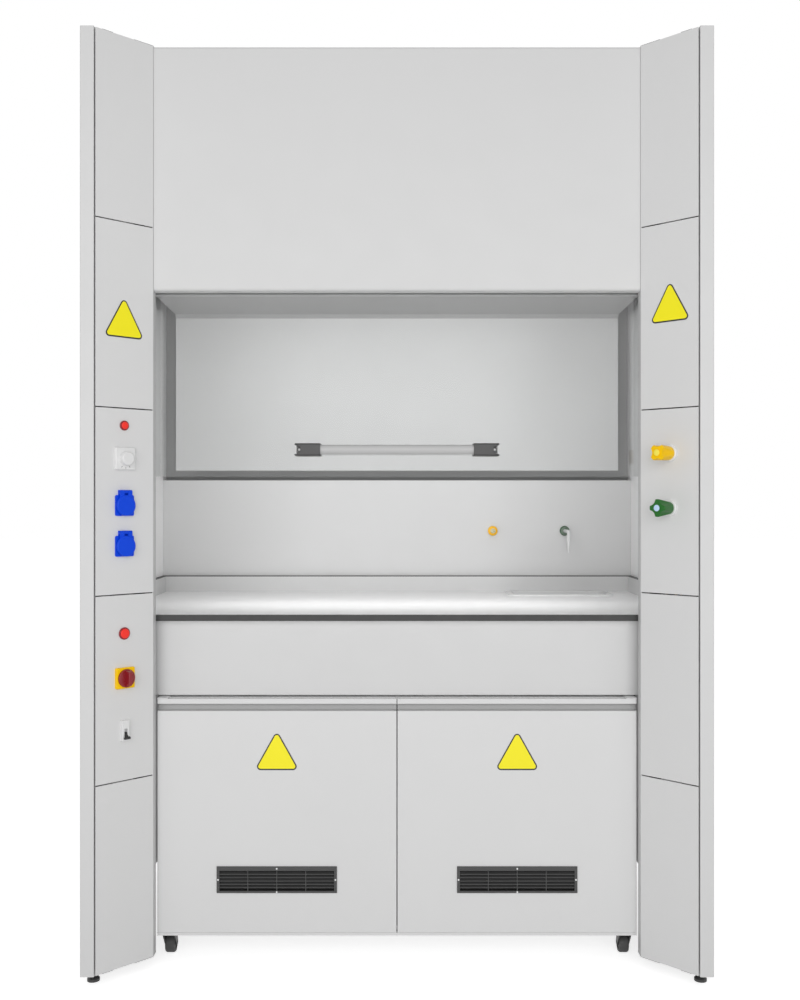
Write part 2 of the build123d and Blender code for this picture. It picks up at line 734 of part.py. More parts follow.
def upper_baffle():
    """Folded sheet: rear wall, 45 degree fold and ceiling, hung from the liners in front."""
    fold_top = UPPER_BAFFLE_FOLD + FOLD_RISE
    ceiling_z = fold_top + CEILING_RISE
    section = sheet_section(
        [
            (UPPER_BAFFLE_FRONT + BAFFLE_HEM, UPPER_BAFFLE_BOTTOM),
            (UPPER_BAFFLE_FRONT, UPPER_BAFFLE_BOTTOM),
            (UPPER_BAFFLE_FRONT, UPPER_BAFFLE_FOLD),
            (UPPER_BAFFLE_FRONT - FOLD_RUN, fold_top),
            (CEILING_FRONT, ceiling_z),
            (CEILING_FRONT, ceiling_z + BAFFLE_HEM),
        ],
        UPPER_BAFFLE,
        Side.RIGHT,
    )
    sheet = crosswise(section, UPPER_BAFFLE_HALF_WIDTH)
    hanger_y = (CEILING_FRONT, CEILING_FRONT + HANGER_WIDTH)
    hanger_z = (ceiling_z, ceiling_z + UPPER_BAFFLE)
    hanger = block((UPPER_BAFFLE_HALF_WIDTH - 5, INSIDE), hanger_y, hanger_z)
    hanger += block((INSIDE - UPPER_BAFFLE, INSIDE), hanger_y, (ceiling_z, ceiling_z + BAFFLE_HEM))
    for tab in both_sides(hanger):
        sheet += tab
    rear = UPPER_BAFFLE_FRONT + UPPER_BAFFLE
    heights = (UPPER_BAFFLE_BOTTOM + STANDOFF_MARGIN, UPPER_BAFFLE_FOLD - STANDOFF_MARGIN)
    return [sheet] + standoffs(rear, heights)


# Head of the hood

def upper_front_panel():
    half = NICHE - FIT
    section = sheet_section(
        [
            (SASH_SLOT_FRONT, PANEL_BOTTOM),
            (PANEL_FRONT, PANEL_BOTTOM),
            (PANEL_FRONT, COLUMN_TOP - 1),
            (PANEL_FRONT + PANEL_HEAD_FLANGE, COLUMN_TOP - 1),
        ],
        SHEET,
        Side.RIGHT,
        PANEL_BOTTOM_BEND,
    )
    panel = crosswise(section, half)
    flange = block((half - SHEET, half), (PANEL_FRONT + SHEET / 2, PANEL_FRONT + PANEL_SIDE_FLANGE),
                   (PANEL_BOTTOM + PANEL_SIDE_FLANGE, COLUMN_TOP - PANEL_SIDE_FLANGE))
    for side_flange in both_sides(flange):
        panel += side_flange
    return panel


def lintel():
    """Inner wall of the space that the sash rises into."""
    section = sheet_section(
        [
            (SASH_SLOT_REAR, PANEL_BOTTOM),
            (LINTEL_REAR, PANEL_BOTTOM),
            (LINTEL_REAR, ROOF_BOTTOM),
        ],
        SHEET,
        Side.LEFT,
    )
    middle = crosswise(section, DUCT_INNER - FIT)
    wall = block((-INSIDE, INSIDE), (LINTEL_REAR - SHEET, LINTEL_REAR),
                 (PANEL_BOTTOM + BEND, ROOF_BOTTOM))
    return middle + wall


def roof_panel():
    half = BACK_HALF_WIDTH
    plate = block((-half, half), (LINTEL_REAR - SHEET, DEPTH - SHEET), (ROOF_BOTTOM, ROOF_TOP))
    duct = Pos(0, COLLAR_Y, ROOF_BOTTOM) * Cylinder(COLLAR_RADIUS - COLLAR_WALL, 4 * ROOF_SHEET)
    gland = Pos(-GLAND_X, GLAND_Y, ROOF_BOTTOM) * Cylinder(GLAND_THREAD + FIT, 4 * ROOF_SHEET)
    return plate - duct - gland


def exhaust_collar():
    bore = COLLAR_RADIUS - COLLAR_WALL
    profile = [
        (bore, 0),
        (COLLAR_RADIUS + COLLAR_FLANGE, 0),
        (COLLAR_RADIUS + COLLAR_FLANGE, ROOF_SHEET),
        (COLLAR_RADIUS, ROOF_SHEET),
        (COLLAR_RADIUS, COLLAR_HEIGHT),
        (bore, COLLAR_HEIGHT),
    ]
    return Pos(0, COLLAR_Y, ROOF_TOP) * turned(profile)


def cable_gland():
    dome = [
        (GLAND_BORE, -GLAND_TAIL),
        (GLAND_THREAD, -GLAND_TAIL),
        (GLAND_THREAD, GLAND_HEX_HEIGHT),
        (GLAND_THREAD + 2, GLAND_HEX_HEIGHT),
        (GLAND_THREAD + 2, GLAND_HEIGHT - 5),
        (GLAND_THREAD - 1, GLAND_HEIGHT),
        (GLAND_BORE, GLAND_HEIGHT),
    ]
    hexagon = extrude(RegularPolygon(GLAND_HEX, 6) - Circle(GLAND_BORE), amount=GLAND_HEX_HEIGHT)
    return Pos(-GLAND_X, GLAND_Y, ROOF_TOP) * (turned(dome) + hexagon)


def lamp():
    """Lamp body on the back of the lintel, with a sloping lens below."""
    rear = LINTEL_REAR + LAMP_DEPTH
    top = LAMP_BOTTOM + LAMP_HEIGHT
    body = Polyline(
        (LINTEL_REAR, LAMP_BOTTOM),
        (LINTEL_REAR + LAMP_DEPTH / 3, LAMP_BOTTOM),
        (rear, LAMP_BOTTOM + LAMP_HEIGHT / 2),
        (rear, top),
        (LINTEL_REAR, top),
        close=True,
    )
    lens = Polyline(
        (LINTEL_REAR + LAMP_DEPTH / 3, LAMP_BOTTOM),
        (LINTEL_REAR + LAMP_DEPTH / 3, LAMP_BOTTOM - LAMP_LENS),
        (rear, LAMP_BOTTOM + LAMP_HEIGHT / 2 - LAMP_LENS),
        (rear, LAMP_BOTTOM + LAMP_HEIGHT / 2),
        close=True,
    )
    pieces = [crosswise(make_face(body), LAMP_HALF_LENGTH)]
    pieces.append(crosswise(make_face(lens), LAMP_HALF_LENGTH - 10))
    return pieces


# Sash and counterbalance

def sash_glass():
    return block((-GLASS_HALF_WIDTH, GLASS_HALF_WIDTH), (GLASS_FRONT, GLASS_FRONT + GLASS),
                 (SASH_BOTTOM, GLASS_TOP))


def handle_brackets():
    outer = HANDLE_WIDTH / 2
    inner = outer - BRACKET_LENGTH
    bar_y = GLASS_FRONT - HANDLE_GAP - BAR_RADIUS
    front = bar_y - BAR_RADIUS - BRACKET_NOSE
    half = BRACKET_HEIGHT / 2
    height = (HANDLE_Z - half, HANDLE_Z + half)
    body = block((inner, outer), (front, GLASS_FRONT), height)
    body = fillet(body.edges().filter_by(Axis.X).group_by(Axis.Y)[0], 5)
    body -= rod((inner - 1, bar_y, HANDLE_Z), (inner + BAR_SEAT, bar_y, HANDLE_Z), BAR_RADIUS)
    notch = (HANDLE_Z - NOTCH_HEIGHT / 2, HANDLE_Z + NOTCH_HEIGHT / 2)
    body -= block((outer - NOTCH_DEPTH, outer + 1), (front - 1, GLASS_FRONT + 1), notch)
    pocket = (HANDLE_Z - NOTCH_HEIGHT / 3, HANDLE_Z + NOTCH_HEIGHT / 3)
    body -= block((outer - 2 * NOTCH_DEPTH, outer), (front - 1, bar_y), pocket)
    glass_back = GLASS_FRONT + GLASS
    clamp = block((inner, outer), (glass_back, glass_back + CLAMP_PLATE), height)
    clamp = fillet(clamp.edges().filter_by(Axis.Y), 4)
    return both_sides(body, clamp)


def handle_bar():
    end = HANDLE_WIDTH / 2 - BRACKET_LENGTH + BAR_SEAT
    bar_y = GLASS_FRONT - HANDLE_GAP - BAR_RADIUS
    return rod((-end, bar_y, HANDLE_Z), (end, bar_y, HANDLE_Z), BAR_RADIUS)


def shoe(top):
    """Slide block clamped on the edge of the glass, bored for the rope."""
    y_low = SASH_Y - GUIDE_DEPTH / 2 + GUIDE_WALL + SHOE_CLEARANCE
    y_high = SASH_Y + GUIDE_DEPTH / 2 - GUIDE_WALL - SHOE_CLEARANCE
    x_high = DUCT_INNER - GUIDE_WALL - 2 * SHOE_CLEARANCE
    height = (top - SHOE_LENGTH, top)
    body = block((GLASS_HALF_WIDTH - SHOE_LAP, x_high), (y_low, y_high), height)
    body -= block((GLASS_HALF_WIDTH - SHOE_LAP - 1, GLASS_HALF_WIDTH),
                  (GLASS_FRONT, GLASS_FRONT + GLASS), (height[0] - 1, height[1] + 1))
    return body - rod((ROPE_SASH_X, SASH_Y, height[0] - 1), (ROPE_SASH_X, SASH_Y, height[1] + 1),
                      ROPE_RADIUS + ROPE_CLEARANCE)


def sash_shoes():
    upper = shoe(GLASS_TOP - UPPER_SHOE_DROP)
    lower = shoe(SASH_BOTTOM + LOWER_SHOE_RISE + SHOE_LENGTH)
    return both_sides(upper, lower)


def sash_guides():
    """Aluminium channels, open towards the glass."""
    y_low = SASH_Y - GUIDE_DEPTH / 2
    y_high = SASH_Y + GUIDE_DEPTH / 2
    height = (WORKTOP_TOP, GUIDE_TOP)
    channel = block((GUIDE_INNER, DUCT_INNER), (y_low, y_high), height)
    channel -= block((GUIDE_INNER - 1, DUCT_INNER - GUIDE_WALL),
                     (y_low + GUIDE_WALL, y_high - GUIDE_WALL), (height[0] - 1, height[1] + 1))
    return both_sides(channel)


def counterweight_ducts():
    """Sheet casings round the counterweights, with the pins of the pulleys at their heads."""
    section = sheet_section(
        [
            (DUCT_INNER, BEHIND_WEB),
            (DUCT_INNER, DUCT_REAR),
            (INSIDE, DUCT_REAR),
            (INSIDE, DUCT_REAR - DUCT_LIP),
        ],
        SHEET,
        Side.RIGHT,
    )
    casing = upright(section, WORKTOP_TOP, DUCT_HEAD)
    pulley_side = PULLEY_X + PULLEY_PITCH_RADIUS + 2 * PULLEY_FLANGE
    casing -= block((DUCT_INNER - 1, pulley_side), (BEHIND_WEB - 1, DUCT_REAR - SHEET - 1),
                    (GUIDE_TOP, DUCT_HEAD + 1))
    pin = rod((PULLEY_X, COLUMN_DEPTH, PULLEY_Z), (PULLEY_X, DUCT_REAR - SHEET, PULLEY_Z),
              PIN_RADIUS)
    return both_sides(casing, pin)


def pulley():
    """Grooved pulley with lightening holes."""
    rim = PULLEY_PITCH_RADIUS + PULLEY_FLANGE
    floor = PULLEY_PITCH_RADIUS - ROPE_RADIUS - ROPE_CLEARANCE
    bore = PIN_RADIUS + PIN_CLEARANCE
    half = PULLEY_WIDTH / 2
    disc = turned(
        [
            (bore, -half),
            (rim, -half),
            (rim, -PULLEY_GROOVE_MOUTH / 2),
            (floor, -PULLEY_GROOVE_FLOOR / 2),
            (floor, PULLEY_GROOVE_FLOOR / 2),
            (rim, PULLEY_GROOVE_MOUTH / 2),
            (rim, half),
            (bore, half),
        ]
    )
    for spot in PolarLocations(PULLEY_HOLE_CIRCLE, PULLEY_HOLES):
        disc -= spot * Cylinder(PULLEY_HOLE_RADIUS, PULLEY_WIDTH + 2)
    return Pos(PULLEY_X, SASH_Y, PULLEY_Z) * Rot(90, 0, 0) * disc


def sash_ropes():
    """Wire rope from the sash shoe over the pulley to the counterweight."""
    start = (ROPE_SASH_X, SASH_Y, GLASS_TOP - UPPER_SHOE_DROP - SHOE_LENGTH / 2)
    rise = (ROPE_SASH_X, SASH_Y, PULLEY_Z)
    crest = (PULLEY_X, SASH_Y, PULLEY_Z + PULLEY_PITCH_RADIUS)
    fall = (ROPE_WEIGHT_X, SASH_Y, PULLEY_Z)
    end = (ROPE_WEIGHT_X, SASH_Y, COUNTERWEIGHT_TOP)
    path = Line(start, rise) + ThreePointArc(rise, crest, fall) + Line(fall, end)
    section = Plane(origin=start, z_dir=(0, 0, 1)) * Circle(ROPE_RADIUS)
    return both_sides(sweep(section, path=path))


def counterweight_height():
    """Length of flat bar that balances half of the sash."""
    glass = 2 * GLASS_HALF_WIDTH * GLASS_HEIGHT * GLASS * GLASS_DENSITY
    bar = COUNTERWEIGHT_WIDTH * COUNTERWEIGHT_THICKNESS * STEEL_DENSITY
    return (glass + HANDLE_MASS) / 2 / bar


def counterweights():
    x = (ROPE_WEIGHT_X - COUNTERWEIGHT_WIDTH / 2, ROPE_WEIGHT_X + COUNTERWEIGHT_WIDTH / 2)
    y = (SASH_Y - COUNTERWEIGHT_THICKNESS / 2, SASH_Y + COUNTERWEIGHT_THICKNESS / 2)
    bar = block(x, y, (COUNTERWEIGHT_TOP - counterweight_height(), COUNTERWEIGHT_TOP))
    ends = bar.edges().filter_by(Axis.Y)
    return both_sides(chamfer(ends, COUNTERWEIGHT_CHAMFER))


# Service outlets, valves and pipes

def outlet_plane(x):
    return Plane(origin=(x, LOWER_BAFFLE_FRONT, OUTLET_Z), x_dir=(1, 0, 0), z_dir=(0, -1, 0))


def gas_outlet():
    """Wall flange and ribbed hose nozzle."""
    profile = [
        (0, -OUTLET_SHANK),
        (OUTLET_SHANK_RADIUS, -OUTLET_SHANK),
        (OUTLET_SHANK_RADIUS, 0),
        (OUTLET_FLANGE_RADIUS, 0),
        (OUTLET_FLANGE_RADIUS, 5),
        (OUTLET_FLANGE_RADIUS - 2, 7),
        (8, 8),
        (7, 22),
    ]
    rib_pitch = 7.0
    for rib in range(3):
        profile.append((4.5, 23 + rib * rib_pitch))
        profile.append((6, 24 + rib * rib_pitch))
    profile.append((4, 46))
    profile.append((2.5, 46))
    profile.append((2.5, 10))
    profile.append((0, 10))
    return outlet_plane(GAS_X) * turned(profile)


def hose_nozzle():
    """Ribbed nozzle that tapers downwards from the end of the spout."""
    wall = SPOUT_WALL
    profile = [(SPOUT_RADIUS - wall, 0), (SPOUT_RADIUS + 1, 0), (SPOUT_RADIUS + 1, -6)]
    pitch = (NOZZLE_LENGTH - 8) / NOZZLE_RIBS
    for rib in range(NOZZLE_RIBS):
        share = rib / NOZZLE_RIBS
        radius = SPOUT_RADIUS + (NOZZLE_TIP_RADIUS - SPOUT_RADIUS) * share
        profile.append((radius, -6 - rib * pitch))
        profile.append((radius, -4 - (rib + 1) * pitch))
        profile.append((radius - NOZZLE_RIB, -5 - (rib + 1) * pitch))
    profile.append((NOZZLE_TIP_RADIUS, -NOZZLE_LENGTH))
    profile.append((NOZZLE_TIP_RADIUS - wall, -NOZZLE_LENGTH))
    return turned(profile)


def water_outlet():
    """Wall flange, a bent spout and its hose nozzle."""
    flange_height = 8.0
    flange = turned(
        [
            (0, -OUTLET_SHANK),
            (OUTLET_SHANK_RADIUS, -OUTLET_SHANK),
            (OUTLET_SHANK_RADIUS, 0),
            (OUTLET_FLANGE_RADIUS, 0),
            (OUTLET_FLANGE_RADIUS, flange_height - 2),
            (OUTLET_FLANGE_RADIUS - 2, flange_height),
            (0, flange_height),
        ]
    )
    route = [(0, 0, flange_height), (0, 0, SPOUT_REACH), (0, -SPOUT_DROP, SPOUT_REACH)]
    spout = tube_along(route, SPOUT_BEND, SPOUT_RADIUS, SPOUT_WALL)
    plane = outlet_plane(WATER_X)
    nozzle = Pos(WATER_X, LOWER_BAFFLE_FRONT - SPOUT_REACH, OUTLET_Z - SPOUT_DROP) * hose_nozzle()
    return [plane * flange, plane * spout, nozzle]


def valve_body(height):
    """Valve behind the right column's face, with the spindle that carries the knob."""
    body = rod((0, 0, -VALVE_DEPTH - VALVE_LENGTH), (0, 0, -VALVE_DEPTH), VALVE_RADIUS)
    neck = rod((0, 0, -VALVE_DEPTH), (0, 0, -SHEET), OUTLET_SHANK_RADIUS + 2)
    spindle = rod((0, 0, -SHEET), (0, 0, SPINDLE_RISE), SPINDLE_RADIUS)
    return column_face(1, height) * (body + neck + spindle)


def valve_port(height, offset, drop):
    """Point in the plane of the valve's ports, at an offset along the face."""
    local = Vector(offset, -drop, -VALVE_DEPTH - VALVE_LENGTH / 2)
    return column_face(1, height).from_local_coords(local)


def outlet_pipe_x(offset):
    return valve_port(GAS_VALVE_Z, offset, 0).X


def pipe_crossings():
    """Where the pipes pass the column's rear web: place across and height."""
    return [
        (outlet_pipe_x(GAS_PIPE_OFFSET), OUTLET_PIPE_Z),
        (outlet_pipe_x(WATER_PIPE_OFFSET), OUTLET_PIPE_Z),
        (outlet_pipe_x(-GAS_PIPE_OFFSET), INLET_PIPE_Z),
        (outlet_pipe_x(-WATER_PIPE_OFFSET), INLET_PIPE_Z),
    ]


def pipe_lengths(points):
    """Straight lengths and bends of a pipe, end to end as they are soldered."""
    lengths = []
    for edge in FilletPolyline(*points, radius=PIPE_BEND).edges():
        start = Plane(origin=edge @ 0, z_dir=edge % 0)
        lengths.append(sweep(start * Circle(PIPE_RADIUS), path=edge))
    return lengths


def valve_leg(height, offset, low):
    """Pipe points from a valve down to the height at which the pipe turns back."""
    sideways = abs(offset) > VALVE_RADIUS
    if sideways:
        start = valve_port(height, math.copysign(VALVE_RADIUS, offset), 0)
        top = [start, valve_port(height, offset, 0)]
    else:
        top = [valve_port(height, offset, math.sqrt(VALVE_RADIUS**2 - offset**2))]
    bottom = Vector(top[-1].X, top[-1].Y, low)
    return top + [bottom]


def outlet_pipe(height, offset, outlet_x, rise):
    """Pipe under the worktop and up the plenum to an outlet on the rear wall."""
    points = valve_leg(height, offset, OUTLET_PIPE_Z)
    x = points[-1].X
    run_z = OUTLET_Z + rise
    points.append(Vector(x, PIPE_BACK_Y, OUTLET_PIPE_Z))
    points.append(Vector(x, PIPE_BACK_Y, run_z))
    points.append(Vector(outlet_x, PIPE_BACK_Y, run_z))
    if rise:
        points.append(Vector(outlet_x, PIPE_BACK_Y, OUTLET_Z))
    points.append(Vector(outlet_x, LOWER_BAFFLE_FRONT + OUTLET_SHANK, OUTLET_Z))
    return pipe_lengths(points)


def inlet_pipe(height, offset):
    """Pipe from a valve to its supply connection at the rear."""
    points = valve_leg(height, offset, INLET_PIPE_Z)
    x = points[-1].X
    stub_start = DEPTH - FIT - INLET_LENGTH
    points.append(Vector(x, stub_start, INLET_PIPE_Z))
    stub = rod((x, stub_start, INLET_PIPE_Z), (x, DEPTH - FIT, INLET_PIPE_Z), INLET_RADIUS)
    return pipe_lengths(points) + [stub]


def service_pipework():
    pieces = [valve_body(GAS_VALVE_Z), valve_body(WATER_VALVE_Z)]
    pieces += outlet_pipe(GAS_VALVE_Z, GAS_PIPE_OFFSET, GAS_X, GAS_RUN_RISE)
    pieces += outlet_pipe(WATER_VALVE_Z, WATER_PIPE_OFFSET, WATER_X, 0)
    pieces += inlet_pipe(GAS_VALVE_Z, -GAS_PIPE_OFFSET)
    pieces += inlet_pipe(WATER_VALVE_Z, -WATER_PIPE_OFFSET)
    return pieces


def foot(x, y):
    profile = [
        (0, 0),
        (FOOT_RADIUS, 0),
        (FOOT_RADIUS, FOOT_PAD - 2),
        (FOOT_RADIUS - 2, FOOT_PAD),
        (STEM_RADIUS + 2, FOOT_PAD + 4),
        (STEM_RADIUS, FOOT_PAD + 4),
        (STEM_RADIUS, FOOT_HEIGHT + STEM_RISE),
        (0, FOOT_HEIGHT + STEM_RISE),
    ]
    nut = Pos(0, 0, FOOT_HEIGHT - NUT_HEIGHT) * extrude(RegularPolygon(NUT_RADIUS, 6), NUT_HEIGHT)
    return Pos(x, y, 0) * (turned(profile) + nut)


def levelling_feet():
    rear_x = SKIN - LEG / 2
    rear_y = REAR_LEG_FRONT + TUBE / 2
    return both_sides(foot(FOOT_X, FOOT_SETBACK), foot(rear_x, rear_y))


# Controls. Each is drawn about its own centre, Z out of the panel, Y up.

def bezel(radius):
    bore = radius - BEZEL_RIM
    barrel = bore + BUTTON_WALL
    floor = -BUTTON_GUIDE - BUTTON_STROKE - 1
    return turned(
        [
            (0, -BUTTON_BODY),
            (barrel, -BUTTON_BODY),
            (barrel, 0),
            (radius, 0),
            (radius, BEZEL_HEIGHT - 1),
            (radius - 1, BEZEL_HEIGHT),
            (bore, BEZEL_HEIGHT),
            (bore, floor),
            (0, floor),
        ]
    )


def button_cap(radius):
    cap = radius - BEZEL_RIM - PIN_CLEARANCE
    top = BEZEL_HEIGHT + BUTTON_PROUD
    return turned(
        [(0, -BUTTON_GUIDE), (cap, -BUTTON_GUIDE), (cap, top - 1.5), (cap - 1.5, top), (0, top + 0.5)]
    )


def dimmer_plate():
    plate = extrude(RectangleRounded(DIMMER_PLATE, DIMMER_PLATE, 3), DIMMER_PLATE_THICKNESS)
    plate = chamfer(plate.edges().group_by(Axis.Z)[-1], 1.5)
    body = rod((0, 0, -DIMMER_BODY_LENGTH), (0, 0, 0), DIMMER_BODY_RADIUS)
    bore = rod((0, 0, 2 - DIMMER_BODY_LENGTH), (0, 0, DIMMER_PLATE_THICKNESS + 1),
               DIMMER_SHAFT_RADIUS + PIN_CLEARANCE)
    return plate + body - bore


def dimmer_knob():
    low = DIMMER_PLATE_THICKNESS + FIT
    top = low + DIMMER_KNOB_HEIGHT
    shaft_end = 3 - DIMMER_BODY_LENGTH
    knob = turned(
        [
            (0, shaft_end),
            (DIMMER_SHAFT_RADIUS, shaft_end),
            (DIMMER_SHAFT_RADIUS, low),
            (DIMMER_KNOB_RADIUS, low),
            (DIMMER_KNOB_RADIUS - 1, top - 2),
            (DIMMER_KNOB_RADIUS - 3, top),
            (0, top),
        ]
    )
    pointer = Pos(0, DIMMER_KNOB_RADIUS - 5, top) * Box(1.6, 8, 1)
    return knob - pointer


def socket_insert():
    """Contact carrier at the bottom of the socket's well."""
    top = SOCKET_RIM_HEIGHT - SOCKET_WELL_DEPTH
    low = top - SOCKET_INSERT
    insert = rod((0, 0, low), (0, 0, top), SOCKET_WELL_RADIUS - FIT)
    for side in (-1, 1):
        x = side * SOCKET_CONTACT_PITCH / 2
        insert -= rod((x, 0, low + 2), (x, 0, top + 1), SOCKET_CONTACT_RADIUS)
    return insert


def socket_body():
    """Flange, raised rim and well, with the lug and pin of the lid's hinge."""
    flange = extrude(RectangleRounded(SOCKET_FLANGE, SOCKET_FLANGE, 4), SOCKET_FLANGE_THICKNESS)
    tab_height = LID_HINGE_HEIGHT - LID_KNUCKLE_RADIUS - FIT
    tab_y = (SOCKET_FLANGE / 2 - 5, LID_HINGE_Y + LID_KNUCKLE_RADIUS)
    tab = block((-LID_HINGE_WIDTH / 2, LID_HINGE_WIDTH / 2), tab_y, (0, tab_height))
    rim = rod((0, 0, -SOCKET_BODY_LENGTH), (0, 0, SOCKET_RIM_HEIGHT), SOCKET_RIM_RADIUS)
    floor = SOCKET_RIM_HEIGHT - SOCKET_WELL_DEPTH - SOCKET_INSERT
    well = rod((0, 0, floor), (0, 0, SOCKET_RIM_HEIGHT + 1), SOCKET_WELL_RADIUS)
    body = flange + tab + rim - well
    lug = block((-LID_LUG_WIDTH / 2, LID_LUG_WIDTH / 2),
                (LID_HINGE_Y - LID_KNUCKLE_RADIUS, LID_HINGE_Y + LID_KNUCKLE_RADIUS),
                (0, LID_HINGE_HEIGHT))
    lug += rod((-LID_LUG_WIDTH / 2, LID_HINGE_Y, LID_HINGE_HEIGHT),
               (LID_LUG_WIDTH / 2, LID_HINGE_Y, LID_HINGE_HEIGHT), LID_KNUCKLE_RADIUS)
    reach = LID_HINGE_WIDTH / 2 - 1
    pin = rod((-reach, LID_HINGE_Y, LID_HINGE_HEIGHT), (reach, LID_HINGE_Y, LID_HINGE_HEIGHT),
              LID_PIN_RADIUS)
    return body + lug + pin


def socket_lid():
    """Round lid with two cheeks that turn on the pin."""
    low = SOCKET_RIM_HEIGHT + FIT
    high = low + LID_THICKNESS
    disc = rod((0, 0, low), (0, 0, high), LID_RADIUS)
    disc = fillet(disc.edges().group_by(Axis.Z)[-1], 2.5)
    lid = disc
    for side in (-1, 1):
        x = sorted((side * (LID_LUG_WIDTH / 2 + FIT), side * LID_HINGE_WIDTH / 2))
        arm = block(x, (LID_RADIUS - 12, LID_HINGE_Y), (low, LID_HINGE_HEIGHT + LID_KNUCKLE_RADIUS))
        knuckle = rod((x[0], LID_HINGE_Y, LID_HINGE_HEIGHT), (x[1], LID_HINGE_Y, LID_HINGE_HEIGHT),
                      LID_KNUCKLE_RADIUS)
        lid += arm + knuckle
    return lid - rod((-LID_HINGE_WIDTH, LID_HINGE_Y, LID_HINGE_HEIGHT),
                     (LID_HINGE_WIDTH, LID_HINGE_Y, LID_HINGE_HEIGHT),
                     LID_PIN_RADIUS + PIN_CLEARANCE)


def switch_plate():
    """Front plate of the main switch and the contact block behind the panel."""
    plate = extrude(RectangleRounded(SWITCH_PLATE, SWITCH_PLATE, 3), SWITCH_PLATE_THICKNESS)
    plate = chamfer(plate.edges().group_by(Axis.Z)[-1], 1.5)
    plate -= rod((0, 0, -1), (0, 0, SWITCH_PLATE_THICKNESS + 1), SPINDLE_RADIUS + PIN_CLEARANCE)
    half = SWITCH_BOX / 2
    contacts = block((-half, half), (-half, half), (-SHEET - SWITCH_BOX_DEPTH, -SHEET))
    neck = rod((0, 0, -SHEET), (0, 0, -FIT), SWITCH_HANDLE_RADIUS / 2 - 1)
    return [plate, contacts + neck]


def switch_handle():
    """Red disc with a raised grip, on a shaft."""
    low = SWITCH_PLATE_THICKNESS + FIT
    disc = rod((0, 0, low), (0, 0, low + SWITCH_HANDLE_DISC), SWITCH_HANDLE_RADIUS)
    disc = fillet(disc.edges().group_by(Axis.Z)[-1], 1.5)
    grip_top = low + SWITCH_HANDLE_DISC + SWITCH_GRIP_HEIGHT
    grip_length = 2 * SWITCH_HANDLE_RADIUS - 4
    base = Rectangle(SWITCH_GRIP_WIDTH, grip_length)
    crest = Rectangle(SWITCH_GRIP_WIDTH - 5, grip_length - 8)
    grip = loft([Pos(0, 0, low + 2) * base, Pos(0, 0, grip_top) * crest])
    grip = fillet(grip.edges().group_by(Axis.Z)[-1], 1.5)
    shaft = rod((0, 0, 0), (0, 0, low + 1), SPINDLE_RADIUS)
    return disc + grip + shaft


def breaker_cover():
    """Front of the circuit breaker with the slot of its toggle, and the body behind."""
    front = extrude(RectangleRounded(BREAKER_WIDTH, BREAKER_HEIGHT, 2), BREAKER_COVER)
    front = chamfer(front.edges().group_by(Axis.Z)[-1], 1)
    half_width = BREAKER_WIDTH / 2 - 3
    half_height = BREAKER_HEIGHT / 2 - 5
    body = block((-half_width, half_width), (-half_height, half_height), (-BREAKER_BODY_DEPTH, 0))
    slot_half = TOGGLE_WIDTH / 2 + FIT
    reach = TOGGLE_LEVER
    slot = block((-slot_half, slot_half), (TOGGLE_Y - reach, TOGGLE_Y + reach),
                 (-FIT, BREAKER_COVER + 1))
    axis_z = BREAKER_COVER / 2
    pin = rod((-slot_half, TOGGLE_Y, axis_z), (slot_half, TOGGLE_Y, axis_z), TOGGLE_PIN_RADIUS)
    return front + body - slot + pin


def breaker_toggle():
    """Toggle that points down at rest, in the off position."""
    axis_z = BREAKER_COVER / 2
    half = TOGGLE_WIDTH / 2
    hub = rod((-half, 0, 0), (half, 0, 0), TOGGLE_RADIUS - FIT)
    lever = block((-half, half), (-TOGGLE_LEVER_THICKNESS / 2, TOGGLE_LEVER_THICKNESS / 2),
                  (0, TOGGLE_LEVER))
    tip_half = TOGGLE_TIP_WIDTH / 2
    tip = block((-tip_half, tip_half), (-TOGGLE_LEVER_THICKNESS / 2, TOGGLE_LEVER_THICKNESS / 2),
                (TOGGLE_LEVER - 2, TOGGLE_LEVER - 2 + TOGGLE_TIP_LENGTH))
    bore = rod((-half - 1, 0, 0), (half + 1, 0, 0), TOGGLE_PIN_RADIUS + PIN_CLEARANCE)
    toggle = hub + lever + tip - bore
    return Pos(0, TOGGLE_Y, axis_z) * Rot(-TOGGLE_REST_ANGLE, 0, 0) * toggle


def valve_collar():
    return turned(
        [
            (COLLAR_RING_BORE, 0),
            (COLLAR_RING_RADIUS, 0),
            (COLLAR_RING_RADIUS, COLLAR_RING_HEIGHT - 2),
            (COLLAR_RING_RADIUS - 2, COLLAR_RING_HEIGHT),
            (COLLAR_RING_BORE, COLLAR_RING_HEIGHT),
        ]
    )


def valve_knob(base_radius, tip_radius, turn):
    """Lobed knob, wider at its tip, with flutes that run out towards its foot and a round cap."""
    top = KNOB_BASE + KNOB_HEIGHT
    middle = KNOB_BASE + KNOB_HEIGHT / 2
    knob = Pos(0, 0, middle) * Cone(base_radius, tip_radius, KNOB_HEIGHT)
    knob = fillet(knob.edges().group_by(Axis.Z)[-1], 2)
    distance = tip_radius - KNOB_LOBE_DEPTH + KNOB_FLUTE_RADIUS
    flute = Cone(distance - base_radius - 1, KNOB_FLUTE_RADIUS + FIT, KNOB_HEIGHT)
    for spot in PolarLocations(distance, KNOB_LOBES, start_angle=turn):
        knob -= Pos(0, 0, middle + FIT) * spot * flute
    cap = rod((0, 0, top - 1), (0, 0, top + KNOB_CAP_HEIGHT), KNOB_CAP_RADIUS)
    socket = rod((0, 0, 0), (0, 0, SPINDLE_RISE + 1), SPINDLE_RADIUS + PIN_CLEARANCE)
    return knob + cap - socket


# Mobile cabinet

